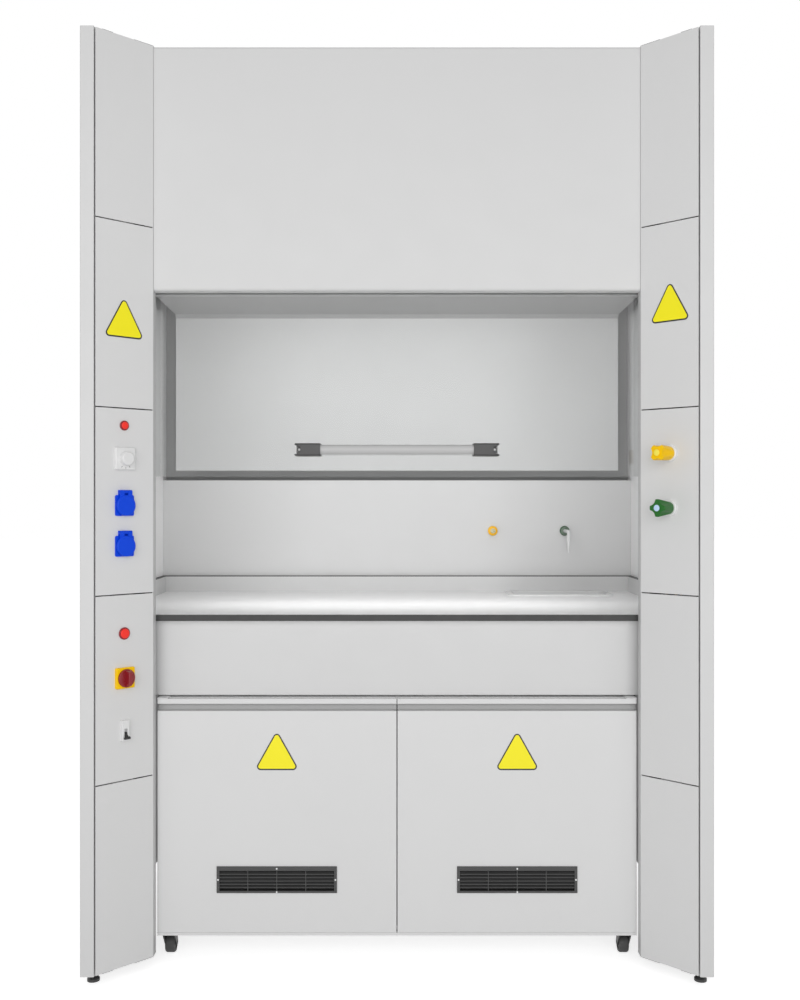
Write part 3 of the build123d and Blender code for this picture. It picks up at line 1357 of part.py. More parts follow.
def cabinet_carcass():
    half = CABINET_HALF_WIDTH
    floor_top = CABINET_BOTTOM + BOARD
    floor = block((-half, half), (COLUMN_DEPTH, CABINET_BACK), (CABINET_BOTTOM, floor_top))
    floor -= block((-half - 1, half + 1), (COLUMN_DEPTH - 1, CARCASS_FRONT),
                   (CABINET_BOTTOM + PLINTH_LIP, floor_top + 1))
    for x in (-CASTER_X, CASTER_X):
        floor -= rod((x, FRONT_CASTER_Y, CABINET_BOTTOM - 1),
                     (x, FRONT_CASTER_Y, CABINET_BOTTOM + CASTER_STEM_RISE + 1),
                     CASTER_STEM_RADIUS + PIN_CLEARANCE)
    top = block((-half, half), (CARCASS_FRONT, CABINET_BACK), (CARCASS_TOP - BOARD, CARCASS_TOP))
    walls = (floor_top, CARCASS_TOP - BOARD)
    side = block((half - BOARD, half), (CARCASS_FRONT, CABINET_BACK), walls)
    back = block((BOARD - half, half - BOARD), (CABINET_BACK - BACK_BOARD, CABINET_BACK), walls)
    pieces = [top, back] + both_sides(side)
    pieces += both_sides(hinge_plate(), lower_hinge_pin())
    lip_hole = rod((HINGE_X, HINGE_Y, CABINET_BOTTOM - 1), (HINGE_X, HINGE_Y, floor_top),
                   HINGE_PIN_RADIUS)
    for hole in both_sides(lip_hole):
        floor -= hole
    return [floor] + pieces


def hinge_plate():
    """Steel plate on the top board with the pin that the door's upper corner turns on."""
    half = CABINET_HALF_WIDTH
    plate = block((half - HINGE_PLATE_WIDTH, half), (COLUMN_DEPTH, COLUMN_DEPTH + HINGE_PLATE_LENGTH),
                  (CARCASS_TOP, CABINET_TOP))
    pin = rod((HINGE_X, HINGE_Y, DOOR_TOP - HINGE_PIN_LENGTH), (HINGE_X, HINGE_Y, CARCASS_TOP),
              HINGE_PIN_RADIUS)
    return plate + pin


def lower_hinge_pin():
    return rod((HINGE_X, HINGE_Y, CABINET_BOTTOM), (HINGE_X, HINGE_Y, DOOR_BOTTOM + HINGE_PIN_LENGTH),
               HINGE_PIN_RADIUS)


def door_section():
    """Side view of a door with the grip rolled into its top edge."""
    front = COLUMN_DEPTH
    groove_top = DOOR_TOP - GRIP_LIP
    groove_bottom = groove_top - GRIP_HEIGHT
    deep = front + GRIP_DEPTH
    panel = make_face(
        Polyline((front, DOOR_BOTTOM), (front + DOOR, DOOR_BOTTOM), (front + DOOR, DOOR_TOP),
                 (front, DOOR_TOP), close=True)
    )
    groove = make_face(
        FilletPolyline((front - 20, groove_bottom), (deep, groove_bottom), (deep, groove_top),
                       (front - 20, groove_top), close=True, radius=GRIP_ROUND)
    )
    return panel - groove


def cabinet_door():
    section = Plane.YZ * door_section()
    inner = DOOR_GAP / 2
    outer = CABINET_HALF_WIDTH
    door = Pos(inner, 0, 0) * extrude(section, amount=outer - inner)
    corner = [
        edge
        for edge in door.edges().filter_by(Axis.Z)
        if edge.center().X > outer - FIT and edge.center().Y < COLUMN_DEPTH + FIT
    ]
    door = fillet(corner, DOOR_EDGE_ROUND)
    bore = HINGE_PIN_RADIUS + PIN_CLEARANCE
    depth = HINGE_PIN_LENGTH + 1
    door -= rod((HINGE_X, HINGE_Y, DOOR_BOTTOM - 1), (HINGE_X, HINGE_Y, DOOR_BOTTOM + depth), bore)
    door -= rod((HINGE_X, HINGE_Y, DOOR_TOP - depth), (HINGE_X, HINGE_Y, DOOR_TOP + 1), bore)
    x, z = grille_opening(FIT)
    return door - block(x, (COLUMN_DEPTH - 1, COLUMN_DEPTH + DOOR + 1), z)


def grille_opening(margin):
    """Width and height ranges of the grille's sunken collar, grown by a margin."""
    half = GRILLE_WIDTH / 2 - GRILLE_SIDE_BORDER + GRILLE_WALL + margin
    low = GRILLE_Z - GRILLE_HEIGHT / 2 + GRILLE_BOTTOM_BORDER - GRILLE_WALL - margin
    high = GRILLE_Z + GRILLE_HEIGHT / 2 - GRILLE_TOP_BORDER + GRILLE_WALL + margin
    return (GRILLE_X - half, GRILLE_X + half), (low, high)


def door_grille():
    """Louvred grille: face frame, sunken collar, sloping louvres and thin upright bars."""
    front = COLUMN_DEPTH - GRILLE_PROUD
    back = COLUMN_DEPTH + GRILLE_SINK
    half = GRILLE_WIDTH / 2
    outer_z = (GRILLE_Z - GRILLE_HEIGHT / 2, GRILLE_Z + GRILLE_HEIGHT / 2)
    face = block((GRILLE_X - half, GRILLE_X + half), (front, COLUMN_DEPTH), outer_z)
    x, z = grille_opening(0)
    clear_x, clear_z = grille_opening(-GRILLE_WALL)
    grille = face + block(x, (COLUMN_DEPTH, back), z)
    grille -= block(clear_x, (front - 1, back + 1), clear_z)
    pitch = (clear_z[1] - clear_z[0]) / GRILLE_SLOTS
    for index in range(1, GRILLE_SLOTS):
        z_front = clear_z[0] + pitch * index
        blade = make_face(
            Polyline((front + 1, z_front - LOUVRE), (front + 1, z_front),
                     (front + 1 + LOUVRE_RUN, z_front + LOUVRE_DROP),
                     (front + 1 + LOUVRE_RUN, z_front + LOUVRE_DROP - LOUVRE), close=True)
        )
        strip = extrude(Plane.YZ * blade, amount=x[1] - x[0])
        grille += Pos(x[0], 0, 0) * strip
    for index in range(1, GRILLE_BARS + 1):
        bar_x = x[0] + (x[1] - x[0]) * index / (GRILLE_BARS + 1)
        bar = (bar_x - GRILLE_BAR / 2, bar_x + GRILLE_BAR / 2)
        grille += block(bar, (front + 1, front + 1 + GRILLE_BAR), z)
    return grille


# Casters

def caster_cheeks(x, y):
    """Two side plates that run from the head down to the axle, behind the swivel axis."""
    gap = CASTER_TREAD / 2 + CASTER_SIDE_GAP
    head = Pos(0, CASTER_HEAD_BOTTOM) * Rectangle(2 * CASTER_HEAD_RADIUS - 4, 6)
    axle_end = Pos(CASTER_TRAIL, CASTER_RADIUS) * Circle(CASTER_AXLE_RADIUS + 5)
    outline = make_hull(head.edges() + axle_end.edges())
    plate = extrude(Plane.YZ * outline, amount=CASTER_CHEEK)
    hole = rod((-1, CASTER_TRAIL, CASTER_RADIUS), (CASTER_CHEEK + 1, CASTER_TRAIL, CASTER_RADIUS),
               CASTER_AXLE_RADIUS)
    plate -= hole
    return Pos(x + gap, y, 0) * plate + Pos(x - gap - CASTER_CHEEK, y, 0) * plate


def caster_axle(x, y):
    reach = CASTER_TREAD / 2 + CASTER_SIDE_GAP + CASTER_CHEEK + 1
    return rod((x - reach, y + CASTER_TRAIL, CASTER_RADIUS),
               (x + reach, y + CASTER_TRAIL, CASTER_RADIUS), CASTER_AXLE_RADIUS)


def swivel_fork(x):
    """Fork with a stem that turns in the cabinet's floor."""
    y = FRONT_CASTER_Y
    top = CABINET_BOTTOM - DOOR_SEAM
    head = rod((x, y, CASTER_HEAD_BOTTOM), (x, y, top), CASTER_HEAD_RADIUS)
    stem = rod((x, y, top), (x, y, CABINET_BOTTOM + CASTER_STEM_RISE), CASTER_STEM_RADIUS)
    return [head + stem + caster_cheeks(x, y), caster_axle(x, y)]


def fixed_fork(x):
    """Fork with a plate screwed under the cabinet's floor."""
    y = REAR_CASTER_Y
    half_width = CASTER_PLATE_WIDTH / 2
    half_length = CASTER_PLATE_LENGTH / 2
    under = CABINET_BOTTOM - CASTER_PLATE
    plate = block((x - half_width, x + half_width), (y - half_length, y + half_length),
                  (under, CABINET_BOTTOM))
    head = rod((x, y, CASTER_HEAD_BOTTOM), (x, y, under), CASTER_HEAD_RADIUS)
    return [plate + head + caster_cheeks(x, y), caster_axle(x, y)]


def caster_wheel(x, y):
    half = CASTER_TREAD / 2
    bore = CASTER_AXLE_RADIUS + PIN_CLEARANCE
    rim = CASTER_RADIUS - CASTER_CROWN
    crown = half - CASTER_SHOULDER
    profile = make_face(
        Polyline((-half, rim), (-half, rim - 5), (2 - half, rim - 7), (2 - half, 9), (-half, 8),
                 (-half, bore), (half, bore), (half, 8), (half - 2, 9), (half - 2, rim - 7),
                 (half, rim - 5), (half, rim), (crown, CASTER_RADIUS), (-crown, CASTER_RADIUS),
                 close=True)
    )
    wheel = revolve(Plane.XY * profile, axis=Axis.X)
    return Pos(x, y + CASTER_TRAIL, CASTER_RADIUS) * wheel


def build_nodes():
    left_face = {height: column_face(-1, height) for height in
                 (UPPER_BUTTON_Z, DIMMER_Z, LOWER_BUTTON_Z, SWITCH_Z, BREAKER_Z) + SOCKET_Z}
    gas_face = column_face(1, GAS_VALVE_Z)
    water_face = column_face(1, WATER_VALVE_Z)
    door = cabinet_door()
    grille = door_grille()
    return {
        "side_panels": side_panels(),
        "columns": columns(),
        "service_panels_left": service_panels(-1, left_cutouts()),
        "service_panels_right": service_panels(1, right_cutouts()),
        "side_liners": side_liners(),
        "back_panel": back_panel(),
        "upper_baffle": upper_baffle(),
        "lower_baffle": lower_baffle(),
        "roof_panel": roof_panel(),
        "exhaust_collar": exhaust_collar(),
        "cable_gland": cable_gland(),
        "upper_front_panel": upper_front_panel(),
        "lintel": lintel(),
        "lamp": lamp(),
        "underframe": underframe(),
        "worktop": worktop(),
        "upstand": upstand(),
        "worktop_fascia": worktop_fascia(),
        "drip_sink": drip_sink(),
        "sash_guides": sash_guides(),
        "counterweight_ducts": counterweight_ducts(),
        "levelling_feet": levelling_feet(),
        "gas_outlet": gas_outlet(),
        "water_outlet": water_outlet(),
        "service_pipework": service_pipework(),
        "valve_collars": [gas_face * valve_collar(), water_face * valve_collar()],
        "pushbutton_bezels": [
            left_face[UPPER_BUTTON_Z] * bezel(UPPER_BEZEL_RADIUS),
            left_face[LOWER_BUTTON_Z] * bezel(LOWER_BEZEL_RADIUS),
        ],
        "dimmer_plate": left_face[DIMMER_Z] * dimmer_plate(),
        "socket_bodies": [
            left_face[height] * piece
            for height in SOCKET_Z
            for piece in (socket_body(), socket_insert())
        ],
        "switch_plate": [left_face[SWITCH_Z] * piece for piece in switch_plate()],
        "breaker_cover": left_face[BREAKER_Z] * breaker_cover(),
        "sash_glass": sash_glass(),
        "handle_brackets": handle_brackets(),
        "handle_bar": handle_bar(),
        "sash_shoes": sash_shoes(),
        "sash_ropes": sash_ropes(),
        "counterweights": counterweights(),
        "sash_pulley_right": pulley(),
        "sash_pulley_left": mirrored(pulley()),
        "upper_button": left_face[UPPER_BUTTON_Z] * button_cap(UPPER_BEZEL_RADIUS),
        "lower_button": left_face[LOWER_BUTTON_Z] * button_cap(LOWER_BEZEL_RADIUS),
        "dimmer_knob": left_face[DIMMER_Z] * dimmer_knob(),
        "upper_socket_lid": left_face[SOCKET_Z[0]] * socket_lid(),
        "lower_socket_lid": left_face[SOCKET_Z[1]] * socket_lid(),
        "switch_handle": left_face[SWITCH_Z] * switch_handle(),
        "breaker_toggle": left_face[BREAKER_Z] * breaker_toggle(),
        "gas_knob": gas_face * valve_knob(GAS_KNOB_BASE_RADIUS, GAS_KNOB_TIP_RADIUS, GAS_KNOB_TURN),
        "water_knob": water_face * valve_knob(WATER_KNOB_BASE_RADIUS, WATER_KNOB_TIP_RADIUS,
                                              WATER_KNOB_TURN),
        "cabinet_carcass": cabinet_carcass(),
        "cabinet_door_right": door,
        "cabinet_door_left": mirrored(door),
        "door_grille_right": grille,
        "door_grille_left": mirrored(grille),
        "rear_caster_forks": fixed_fork(-CASTER_X) + fixed_fork(CASTER_X),
        "front_caster_fork_left": swivel_fork(-CASTER_X),
        "front_caster_fork_right": swivel_fork(CASTER_X),
        "front_caster_wheel_left": caster_wheel(-CASTER_X, FRONT_CASTER_Y),
        "front_caster_wheel_right": caster_wheel(CASTER_X, FRONT_CASTER_Y),
        "rear_caster_wheel_left": caster_wheel(-CASTER_X, REAR_CASTER_Y),
        "rear_caster_wheel_right": caster_wheel(CASTER_X, REAR_CASTER_Y),
    }


def write_nodes():
    os.makedirs("parts", exist_ok=True)
    to_frame = Pos(0, -DEPTH / 2, 0)
    for name, pieces in build_nodes().items():
        if not isinstance(pieces, list):
            pieces = [pieces]
        solids = [solid for piece in pieces for solid in (to_frame * piece).solids()]
        export_step(Compound(children=solids), os.path.join("parts", name + ".step"))


write_nodes()
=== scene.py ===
import json
import math

import bmesh
import bpy
from mathutils import Matrix, Vector


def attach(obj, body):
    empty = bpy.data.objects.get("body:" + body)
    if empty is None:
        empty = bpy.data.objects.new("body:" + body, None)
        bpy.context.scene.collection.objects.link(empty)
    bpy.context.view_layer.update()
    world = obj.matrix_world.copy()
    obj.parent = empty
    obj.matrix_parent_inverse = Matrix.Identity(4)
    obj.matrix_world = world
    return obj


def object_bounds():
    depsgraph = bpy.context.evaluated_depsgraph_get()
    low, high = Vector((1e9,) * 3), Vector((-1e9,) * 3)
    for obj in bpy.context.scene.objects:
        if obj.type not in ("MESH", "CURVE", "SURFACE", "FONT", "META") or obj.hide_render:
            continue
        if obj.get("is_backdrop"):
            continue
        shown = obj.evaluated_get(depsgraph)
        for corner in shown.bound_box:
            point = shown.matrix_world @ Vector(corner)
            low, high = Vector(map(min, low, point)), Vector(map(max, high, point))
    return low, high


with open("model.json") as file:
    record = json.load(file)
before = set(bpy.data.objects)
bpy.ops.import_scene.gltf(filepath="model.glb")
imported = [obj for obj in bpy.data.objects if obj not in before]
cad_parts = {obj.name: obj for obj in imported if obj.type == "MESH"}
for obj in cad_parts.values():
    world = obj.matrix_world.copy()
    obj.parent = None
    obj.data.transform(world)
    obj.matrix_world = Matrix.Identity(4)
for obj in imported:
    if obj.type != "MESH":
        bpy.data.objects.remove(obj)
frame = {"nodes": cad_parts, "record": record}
cad_low, cad_high = (list(corner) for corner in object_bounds())

# Distances in metres. The front of the side panels is at FRONT on the Y axis, heights are above
# the floor, and depths are behind FRONT. The faces of the columns are splayed at 45 degrees, with
# their middles at FACE_X and FACE_DEPTH.
FRONT = cad_low[1]
CAMERA_DISTANCE = 2.632
CAMERA_HEIGHT = 1.154
CAMERA_SHIFT = (0.003, 0.0005)
LENS = 40.09
FACE_X = 0.65925
FACE_DEPTH = 0.05775
COLUMN_INNER_EDGE = 0.6038
DOOR_FACE = 0.148
GROOVE_HEIGHT = (0.6287, 0.6464)
GROOVE_DEPTH = (0.1487, 0.1624)
UPSTAND_EDGE = (0.9166, 0.9200)
OUTLET_FLANGE_DEPTH = 0.8508

SIGN_WIDTH = 0.112
SIGN_HEIGHT = 0.100
SIGN_ROUND = 0.009
SIGN_FACE_WIDTH = 0.1008
SIGN_FACE_HEIGHT = 0.09008
SIGN_FACE_ROUND = 0.0058
SIGN_FACE_DROP = 0.001344
SIGN_BACKING = 0.0006
SIGN_THICKNESS = 0.0009
LEFT_SIGN_Z = 1.597
RIGHT_SIGN_Z = 1.636
DOOR_SIGN_X = 0.300
DOOR_SIGN_Z = 0.531

GRILLE_X = 0.2999
GRILLE_FACE = 0.145
GRILLE_SCREW_REACH = 0.1464
GRILLE_TOP_SCREW_Z = 0.2356
GRILLE_MIDDLE_SCREW_Z = 0.2080
GRILLE_BOTTOM_SCREW_Z = 0.1776
GRILLE_SCREW_RADIUS = 0.0022
BRACKET_SCREW_X = 0.2418
BRACKET_SCREW_Z = 1.280
BRACKET_POCKET = 0.126
BRACKET_SCREW_RADIUS = 0.0028

GAS_KNOB_Z = 1.268
WATER_KNOB_Z = 1.136
KNOB_REACH = 0.0594
DIMMER_Z = 1.255
DIMMER_FACE = 0.008
MARK_REACH = 0.0222
MARK_HALF_WIDTH = 0.0006
MARK_HALF_LENGTH = 0.0022
MARK_ROUND = 0.0004
MARK_ANGLES = (-28, 0, 28)


def srgb(*values):
    """Linear colour from screen values of 0 to 255."""
    linear = []
    for value in values:
        level = value / 255
        linear.append(level / 12.92 if level <= 0.04045 else ((level + 0.055) / 1.055) ** 2.4)
    return tuple(linear)


def grey(value):
    return srgb(value, value, value)


# Camera, world and lamps

def make_camera():
    data = bpy.data.cameras.new("camera")
    data.lens = LENS
    data.sensor_width = 36.0
    data.shift_x, data.shift_y = CAMERA_SHIFT
    camera = bpy.data.objects.new("camera", data)
    bpy.context.scene.collection.objects.link(camera)
    camera.location = (0, FRONT - CAMERA_DISTANCE, CAMERA_HEIGHT)
    camera.rotation_euler = (math.radians(90), 0, 0)
    bpy.context.scene.camera = camera


def sees_background(nodes, links):
    """1 for the rays that show the white background, 0 for those that carry light."""
    path = nodes.new("ShaderNodeLightPath")
    first = nodes.new("ShaderNodeMath")
    first.operation = "MAXIMUM"
    links.new(path.outputs["Is Camera Ray"], first.inputs[0])
    links.new(path.outputs["Is Glossy Ray"], first.inputs[1])
    both = nodes.new("ShaderNodeMath")
    both.operation = "MAXIMUM"
    links.new(first.outputs[0], both.inputs[0])
    links.new(path.outputs["Is Transmission Ray"], both.inputs[1])
    return both.outputs[0]


def make_world(level):
    """White surroundings that light the object at a level of their own."""
    world = bpy.data.worlds.new("studio")
    bpy.context.scene.world = world
    world.use_nodes = True
    nodes, links = world.node_tree.nodes, world.node_tree.links
    nodes.clear()
    lighting = nodes.new("ShaderNodeBackground")
    lighting.inputs["Color"].default_value = (1, 1, 1, 1)
    lighting.inputs["Strength"].default_value = level
    white = nodes.new("ShaderNodeBackground")
    white.inputs["Color"].default_value = (1, 1, 1, 1)
    white.inputs["Strength"].default_value = 1.0
    mix = nodes.new("ShaderNodeMixShader")
    links.new(sees_background(nodes, links), mix.inputs["Fac"])
    links.new(lighting.outputs[0], mix.inputs[1])
    links.new(white.outputs[0], mix.inputs[2])
    out = nodes.new("ShaderNodeOutputWorld")
    links.new(mix.outputs[0], out.inputs["Surface"])


def area_lamp(name, place, target, width, height, power, beam=180):
    """Rectangular lamp that the camera doesn't see. The beam is its full angle in degrees."""
    data = bpy.data.lights.new(name, "AREA")
    data.shape = "RECTANGLE"
    data.size = width
    data.size_y = height
    data.energy = power
    data.spread = math.radians(beam)
    lamp = bpy.data.objects.new(name, data)
    bpy.context.scene.collection.objects.link(lamp)
    lamp.location = place
    direction = Vector(target) - Vector(place)
    lamp.rotation_euler = direction.to_track_quat("-Z", "Y").to_euler()
    lamp.visible_camera = False


def make_lamps():
    """A large lamp before the hood, its own lamp behind the lintel, and one over the worktop."""
    area_lamp("front_light", place=(0, FRONT - 3.6, 1.65), target=(0, 0, 1.15),
              width=4.5, height=2.6, power=88)
    area_lamp("hood_light", place=(0, FRONT + 0.225, 1.73), target=(0, FRONT + 0.86, 1.45),
              width=1.14, height=0.03, power=1.9, beam=150)
    area_lamp("low_light", place=(0, FRONT + 0.40, 1.20), target=(0, FRONT + 0.42, 0.87),
              width=1.1, height=0.03, power=0.75, beam=110)


# Materials

def shader(name, colour, roughness, metallic=0.0):
    material = bpy.data.materials.new(name)
    material.use_nodes = True
    principled = material.node_tree.nodes["Principled BSDF"]
    principled.inputs["Base Color"].default_value = (*colour, 1)
    principled.inputs["Roughness"].default_value = roughness
    principled.inputs["Metallic"].default_value = metallic
    return material


def noise(material, scale, detail=2.0, stretch=(1, 1, 1)):
    """Noise in object space, in waves per metre."""
    nodes, links = material.node_tree.nodes, material.node_tree.links
    place = nodes.new("ShaderNodeTexCoord")
    mapping = nodes.new("ShaderNodeMapping")
    mapping.inputs["Scale"].default_value = stretch
    texture = nodes.new("ShaderNodeTexNoise")
    texture.inputs["Scale"].default_value = scale
    texture.inputs["Detail"].default_value = detail
    links.new(place.outputs["Object"], mapping.inputs["Vector"])
    links.new(mapping.outputs[0], texture.inputs["Vector"])
    return texture.outputs["Fac"]


def spread(material, value, low, high, start=0.3, end=0.7):
    """Maps the range from start to end onto the range from low to high."""
    node = material.node_tree.nodes.new("ShaderNodeMapRange")
    node.inputs["From Min"].default_value = start
    node.inputs["From Max"].default_value = end
    node.inputs["To Min"].default_value = low
    node.inputs["To Max"].default_value = high
    material.node_tree.links.new(value, node.inputs["Value"])
    return node.outputs["Result"]


def mixed(material, factor, first, second):
    """Colour that goes from the first to the second. Each is a socket or a fixed colour."""
    node = material.node_tree.nodes.new("ShaderNodeMix")
    node.data_type = "RGBA"
    links = material.node_tree.links
    links.new(factor, node.inputs["Factor"])
    for socket, value in (("A", first), ("B", second)):
        slot = [s for s in node.inputs if s.name == socket and s.type == "RGBA"][0]
        if isinstance(value, tuple):
            slot.default_value = (*value, 1)
        else:
            links.new(value, slot)
    return [s for s in node.outputs if s.type == "RGBA"][0]


def shaded(colour, amount):
    return tuple(channel * amount for channel in colour)


def finished(name, colour, roughness, mottle=0.02, patch=3.0, grain=900.0, depth=0.00004,
             metallic=0.0, specular=0.5, speckle=0.0):
    """Painted, moulded or rolled surface: slow colour drift, uneven gloss and a fine grain."""
    material = shader(name, colour, roughness, metallic)
    nodes, links = material.node_tree.nodes, material.node_tree.links
    principled = nodes["Principled BSDF"]
    drift = spread(material, noise(material, patch, 3.0), 0.0, 1.0)
    base = mixed(material, drift, shaded(colour, 1 - mottle), shaded(colour, 1 + mottle))
    if speckle:
        dots = spread(material, noise(material, grain * 0.4, 1.0), 0.0, speckle, 0.55, 0.75)
        base = mixed(material, dots, base, shaded(colour, 0.7))
    links.new(base, principled.inputs["Base Color"])
    gloss = noise(material, patch * 7, 4.0)
    links.new(spread(material, gloss, roughness - 0.06, roughness + 0.06),
              principled.inputs["Roughness"])
    bump = nodes.new("ShaderNodeBump")
    bump.inputs["Strength"].default_value = 0.6
    bump.inputs["Distance"].default_value = depth
    links.new(noise(material, grain, 2.0), bump.inputs["Height"])
    links.new(bump.outputs[0], principled.inputs["Normal"])
    principled.inputs["Specular IOR Level"].default_value = specular
    return material


def along(material, kind, axis):
    """One axis of the object's own coordinates, kind Object, or of its normals, kind Normal."""
    nodes, links = material.node_tree.nodes, material.node_tree.links
    place = nodes.new("ShaderNodeTexCoord")
    split = nodes.new("ShaderNodeSeparateXYZ")
    links.new(place.outputs[kind], split.inputs[0])
    return split.outputs[axis]


def facing_up_or_down(material):
    """1 where the surface is level, on top or underneath, and 0 where it is upright."""
    size = material.node_tree.nodes.new("ShaderNodeMath")
    size.operation = "ABSOLUTE"
    material.node_tree.links.new(along(material, "Normal", "Z"), size.inputs[0])
    return size.outputs[0]


def within(material, axis, low, high):
    """1 where a coordinate of the object lies in a range, else 0."""
    near = material.node_tree.nodes.new("ShaderNodeMath")
    near.operation = "COMPARE"
    near.inputs[1].default_value = (low + high) / 2
    near.inputs[2].default_value = (high - low) / 2
    material.node_tree.links.new(along(material, "Object", axis), near.inputs[0])
    return near.outputs[0]


def joined(material, operation, first, second):
    """Result of a Math node for two sockets."""
    node = material.node_tree.nodes.new("ShaderNodeMath")
    node.operation = operation
    material.node_tree.links.new(first, node.inputs[0])
    material.node_tree.links.new(second, node.inputs[1])
    return node.outputs[0]


def laminate(name, face, core, core_faces_up, edge=None):
    """Compact board: pale decor sheets on a black core that shows at the cut edges.

    The cut edges are the level faces if core_faces_up, else the upright ones. The core also
    shows in the range of heights called edge.
    """
    material = finished(name, face, 0.42, mottle=0.012, patch=5, grain=1500, depth=0.00002)
    links = material.node_tree.links
    base = material.node_tree.nodes["Principled BSDF"].inputs["Base Color"]
    decor = base.links[0].from_socket
    level = spread(material, facing_up_or_down(material), 0.0, 1.0, 0.45, 0.55)
    if edge:
        level = joined(material, "MAXIMUM", level, within(material, "Z", *edge))
    if core_faces_up:
        colour = mixed(material, level, decor, core)
    else:
        colour = mixed(material, level, core, decor)
    links.new(colour, base)
    return material


def brushed(name, colour, roughness, stretch):
    """Drawn or rolled metal with fine lines along one direction."""
    material = finished(name, colour, roughness, mottle=0.04, patch=6, grain=1200,
                        depth=0.00001, metallic=1.0)
    principled = material.node_tree.nodes["Principled BSDF"]
    lines = noise(material, 300.0, 3.0, stretch)
    material.node_tree.links.new(spread(material, lines, roughness - 0.08, roughness + 0.1),
                                 principled.inputs["Roughness"])
    return material


def repainted(material, mask, colour):
    """Gives a finish another colour where the mask is 1."""
    links = material.node_tree.links
    base = material.node_tree.nodes["Principled BSDF"].inputs["Base Color"]
    links.new(mixed(material, mask, base.links[0].from_socket, colour), base)
    return material


def door_board():
    """Painted board, grey 220 as painted light, with painted shade in its finger groove."""
    # Grey 220, a touch paler than the grey paint of 214: painted light on the board.
    material = finished("door_board", grey(220), 0.48, mottle=0.01, patch=2.5, grain=1600,
                        depth=0.00002)
    depth = [FRONT + value for value in GROOVE_DEPTH]
    # Painted shade: the recess of the finger groove is repainted grey 168.
    groove = joined(material, "MULTIPLY", within(material, "Z", *GROOVE_HEIGHT),
                    within(material, "Y", *depth))
    return repainted(material, groove, grey(168))


def column_steel():
    """Dark painted post whose inner edge beside the opening is painted pale grey, as painted
    light.
    """
    material = finished("column_steel", grey(70), 0.5, mottle=0.03)
    # Painted light: the inner edge, inside COLUMN_INNER_EDGE, is repainted pale grey 200.
    return repainted(material, within(material, "X", -COLUMN_INNER_EDGE, COLUMN_INNER_EDGE),
                     grey(200))


def liner(name, colour):
    """Smooth board of the chamber's walls."""
    return finished(name, colour, 0.5, mottle=0.01, patch=2.5, grain=1500, depth=0.000001)


def ceiling_board():
    """Wall board of the chamber, with painted shade where it turns into the ceiling: its level
    faces are darker.
    """
    material = liner("ceiling_board", grey(206))
    # Painted shade: faces that lie level, the ceiling, are repainted grey 160.
    sloping = spread(material, facing_up_or_down(material), 0.0, 1.0, 0.25, 0.4)
    return repainted(material, sloping, grey(160))


def spangled(name, colour):
    """Galvanised sheet with its crystal pattern."""
    material = finished(name, colour, 0.42, mottle=0.03, patch=4, grain=700, metallic=0.85)
    nodes, links = material.node_tree.nodes, material.node_tree.links
    place = nodes.new("ShaderNodeTexCoord")
    cells = nodes.new("ShaderNodeTexVoronoi")
    cells.inputs["Scale"].default_value = 60.0
    links.new(place.outputs["Object"], cells.inputs["Vector"])
    split = nodes.new("ShaderNodeSeparateColor")
    links.new(cells.outputs["Color"], split.inputs[0])
    crystals = mixed(material, split.outputs[0], shaded(colour, 0.86), shaded(colour, 1.12))
    principled = nodes["Principled BSDF"]
    links.new(crystals, principled.inputs["Base Color"])
    links.new(spread(material, split.outputs[1], 0.34, 0.52, 0.0, 1.0),
              principled.inputs["Roughness"])
    return material


def outlet_finish(name, flange, nozzle):
    """Coloured wall flange and a paler nozzle in front of it."""
    material = finished(name, flange, 0.4, mottle=0.03, grain=2500)
    limit = FRONT + OUTLET_FLANGE_DEPTH
    depth = along(material, "Object", "Y")
    forward = spread(material, depth, 1.0, 0.0, limit - 0.0003, limit + 0.0003)
    return repainted(material, forward, nozzle)


def lined_sheet():
    """Galvanised sheet with grey paint on the side that faces the chamber."""
    material = spangled("lined_sheet", grey(190))
    links = material.node_tree.links
    principled = material.node_tree.nodes["Principled BSDF"]
    roughness, metallic = principled.inputs["Roughness"], principled.inputs["Metallic"]
    inner = spread(material, along(material, "Normal", "Y"), 1.0, 0.0, -0.1, 0.1)
    links.new(joined(material, "MAXIMUM", roughness.links[0].from_socket, inner), roughness)
    links.new(spread(material, inner, metallic.default_value, 0.0, 0.0, 1.0), metallic)
    return repainted(material, inner, grey(172))


def sash_glass_material():
    """Clear laminated glass. Only its outer faces reflect, because nothing bends the light."""
    material = bpy.data.materials.new("sash_glass")
    material.use_nodes = True
    nodes, links = material.node_tree.nodes, material.node_tree.links
    nodes.clear()
    clear = nodes.new("ShaderNodeBsdfTransparent")
    clear.inputs["Color"].default_value = (0.90, 0.905, 0.904, 1)
    gloss = nodes.new("ShaderNodeBsdfGlossy")
    gloss.inputs["Color"].default_value = (1, 1, 1, 1)
    gloss.inputs["Roughness"].default_value = 0.02
    mirror = nodes.new("ShaderNodeFresnel")
    mirror.inputs["IOR"].default_value = 1.45
    smear = spread(material, noise(material, 5.0, 3.0), 0.85, 1.1)
    amount = joined(material, "MULTIPLY", mirror.outputs[0], smear)
    side = nodes.new("ShaderNodeNewGeometry")
    outer = spread(material, side.outputs["Backfacing"], 1.0, 0.0, 0.0, 1.0)
    mix = nodes.new("ShaderNodeMixShader")
    links.new(joined(material, "MULTIPLY", amount, outer), mix.inputs["Fac"])
    links.new(clear.outputs[0], mix.inputs[1])
    links.new(gloss.outputs[0], mix.inputs[2])
    out = nodes.new("ShaderNodeOutputMaterial")
    links.new(mix.outputs[0], out.inputs["Surface"])
    return material


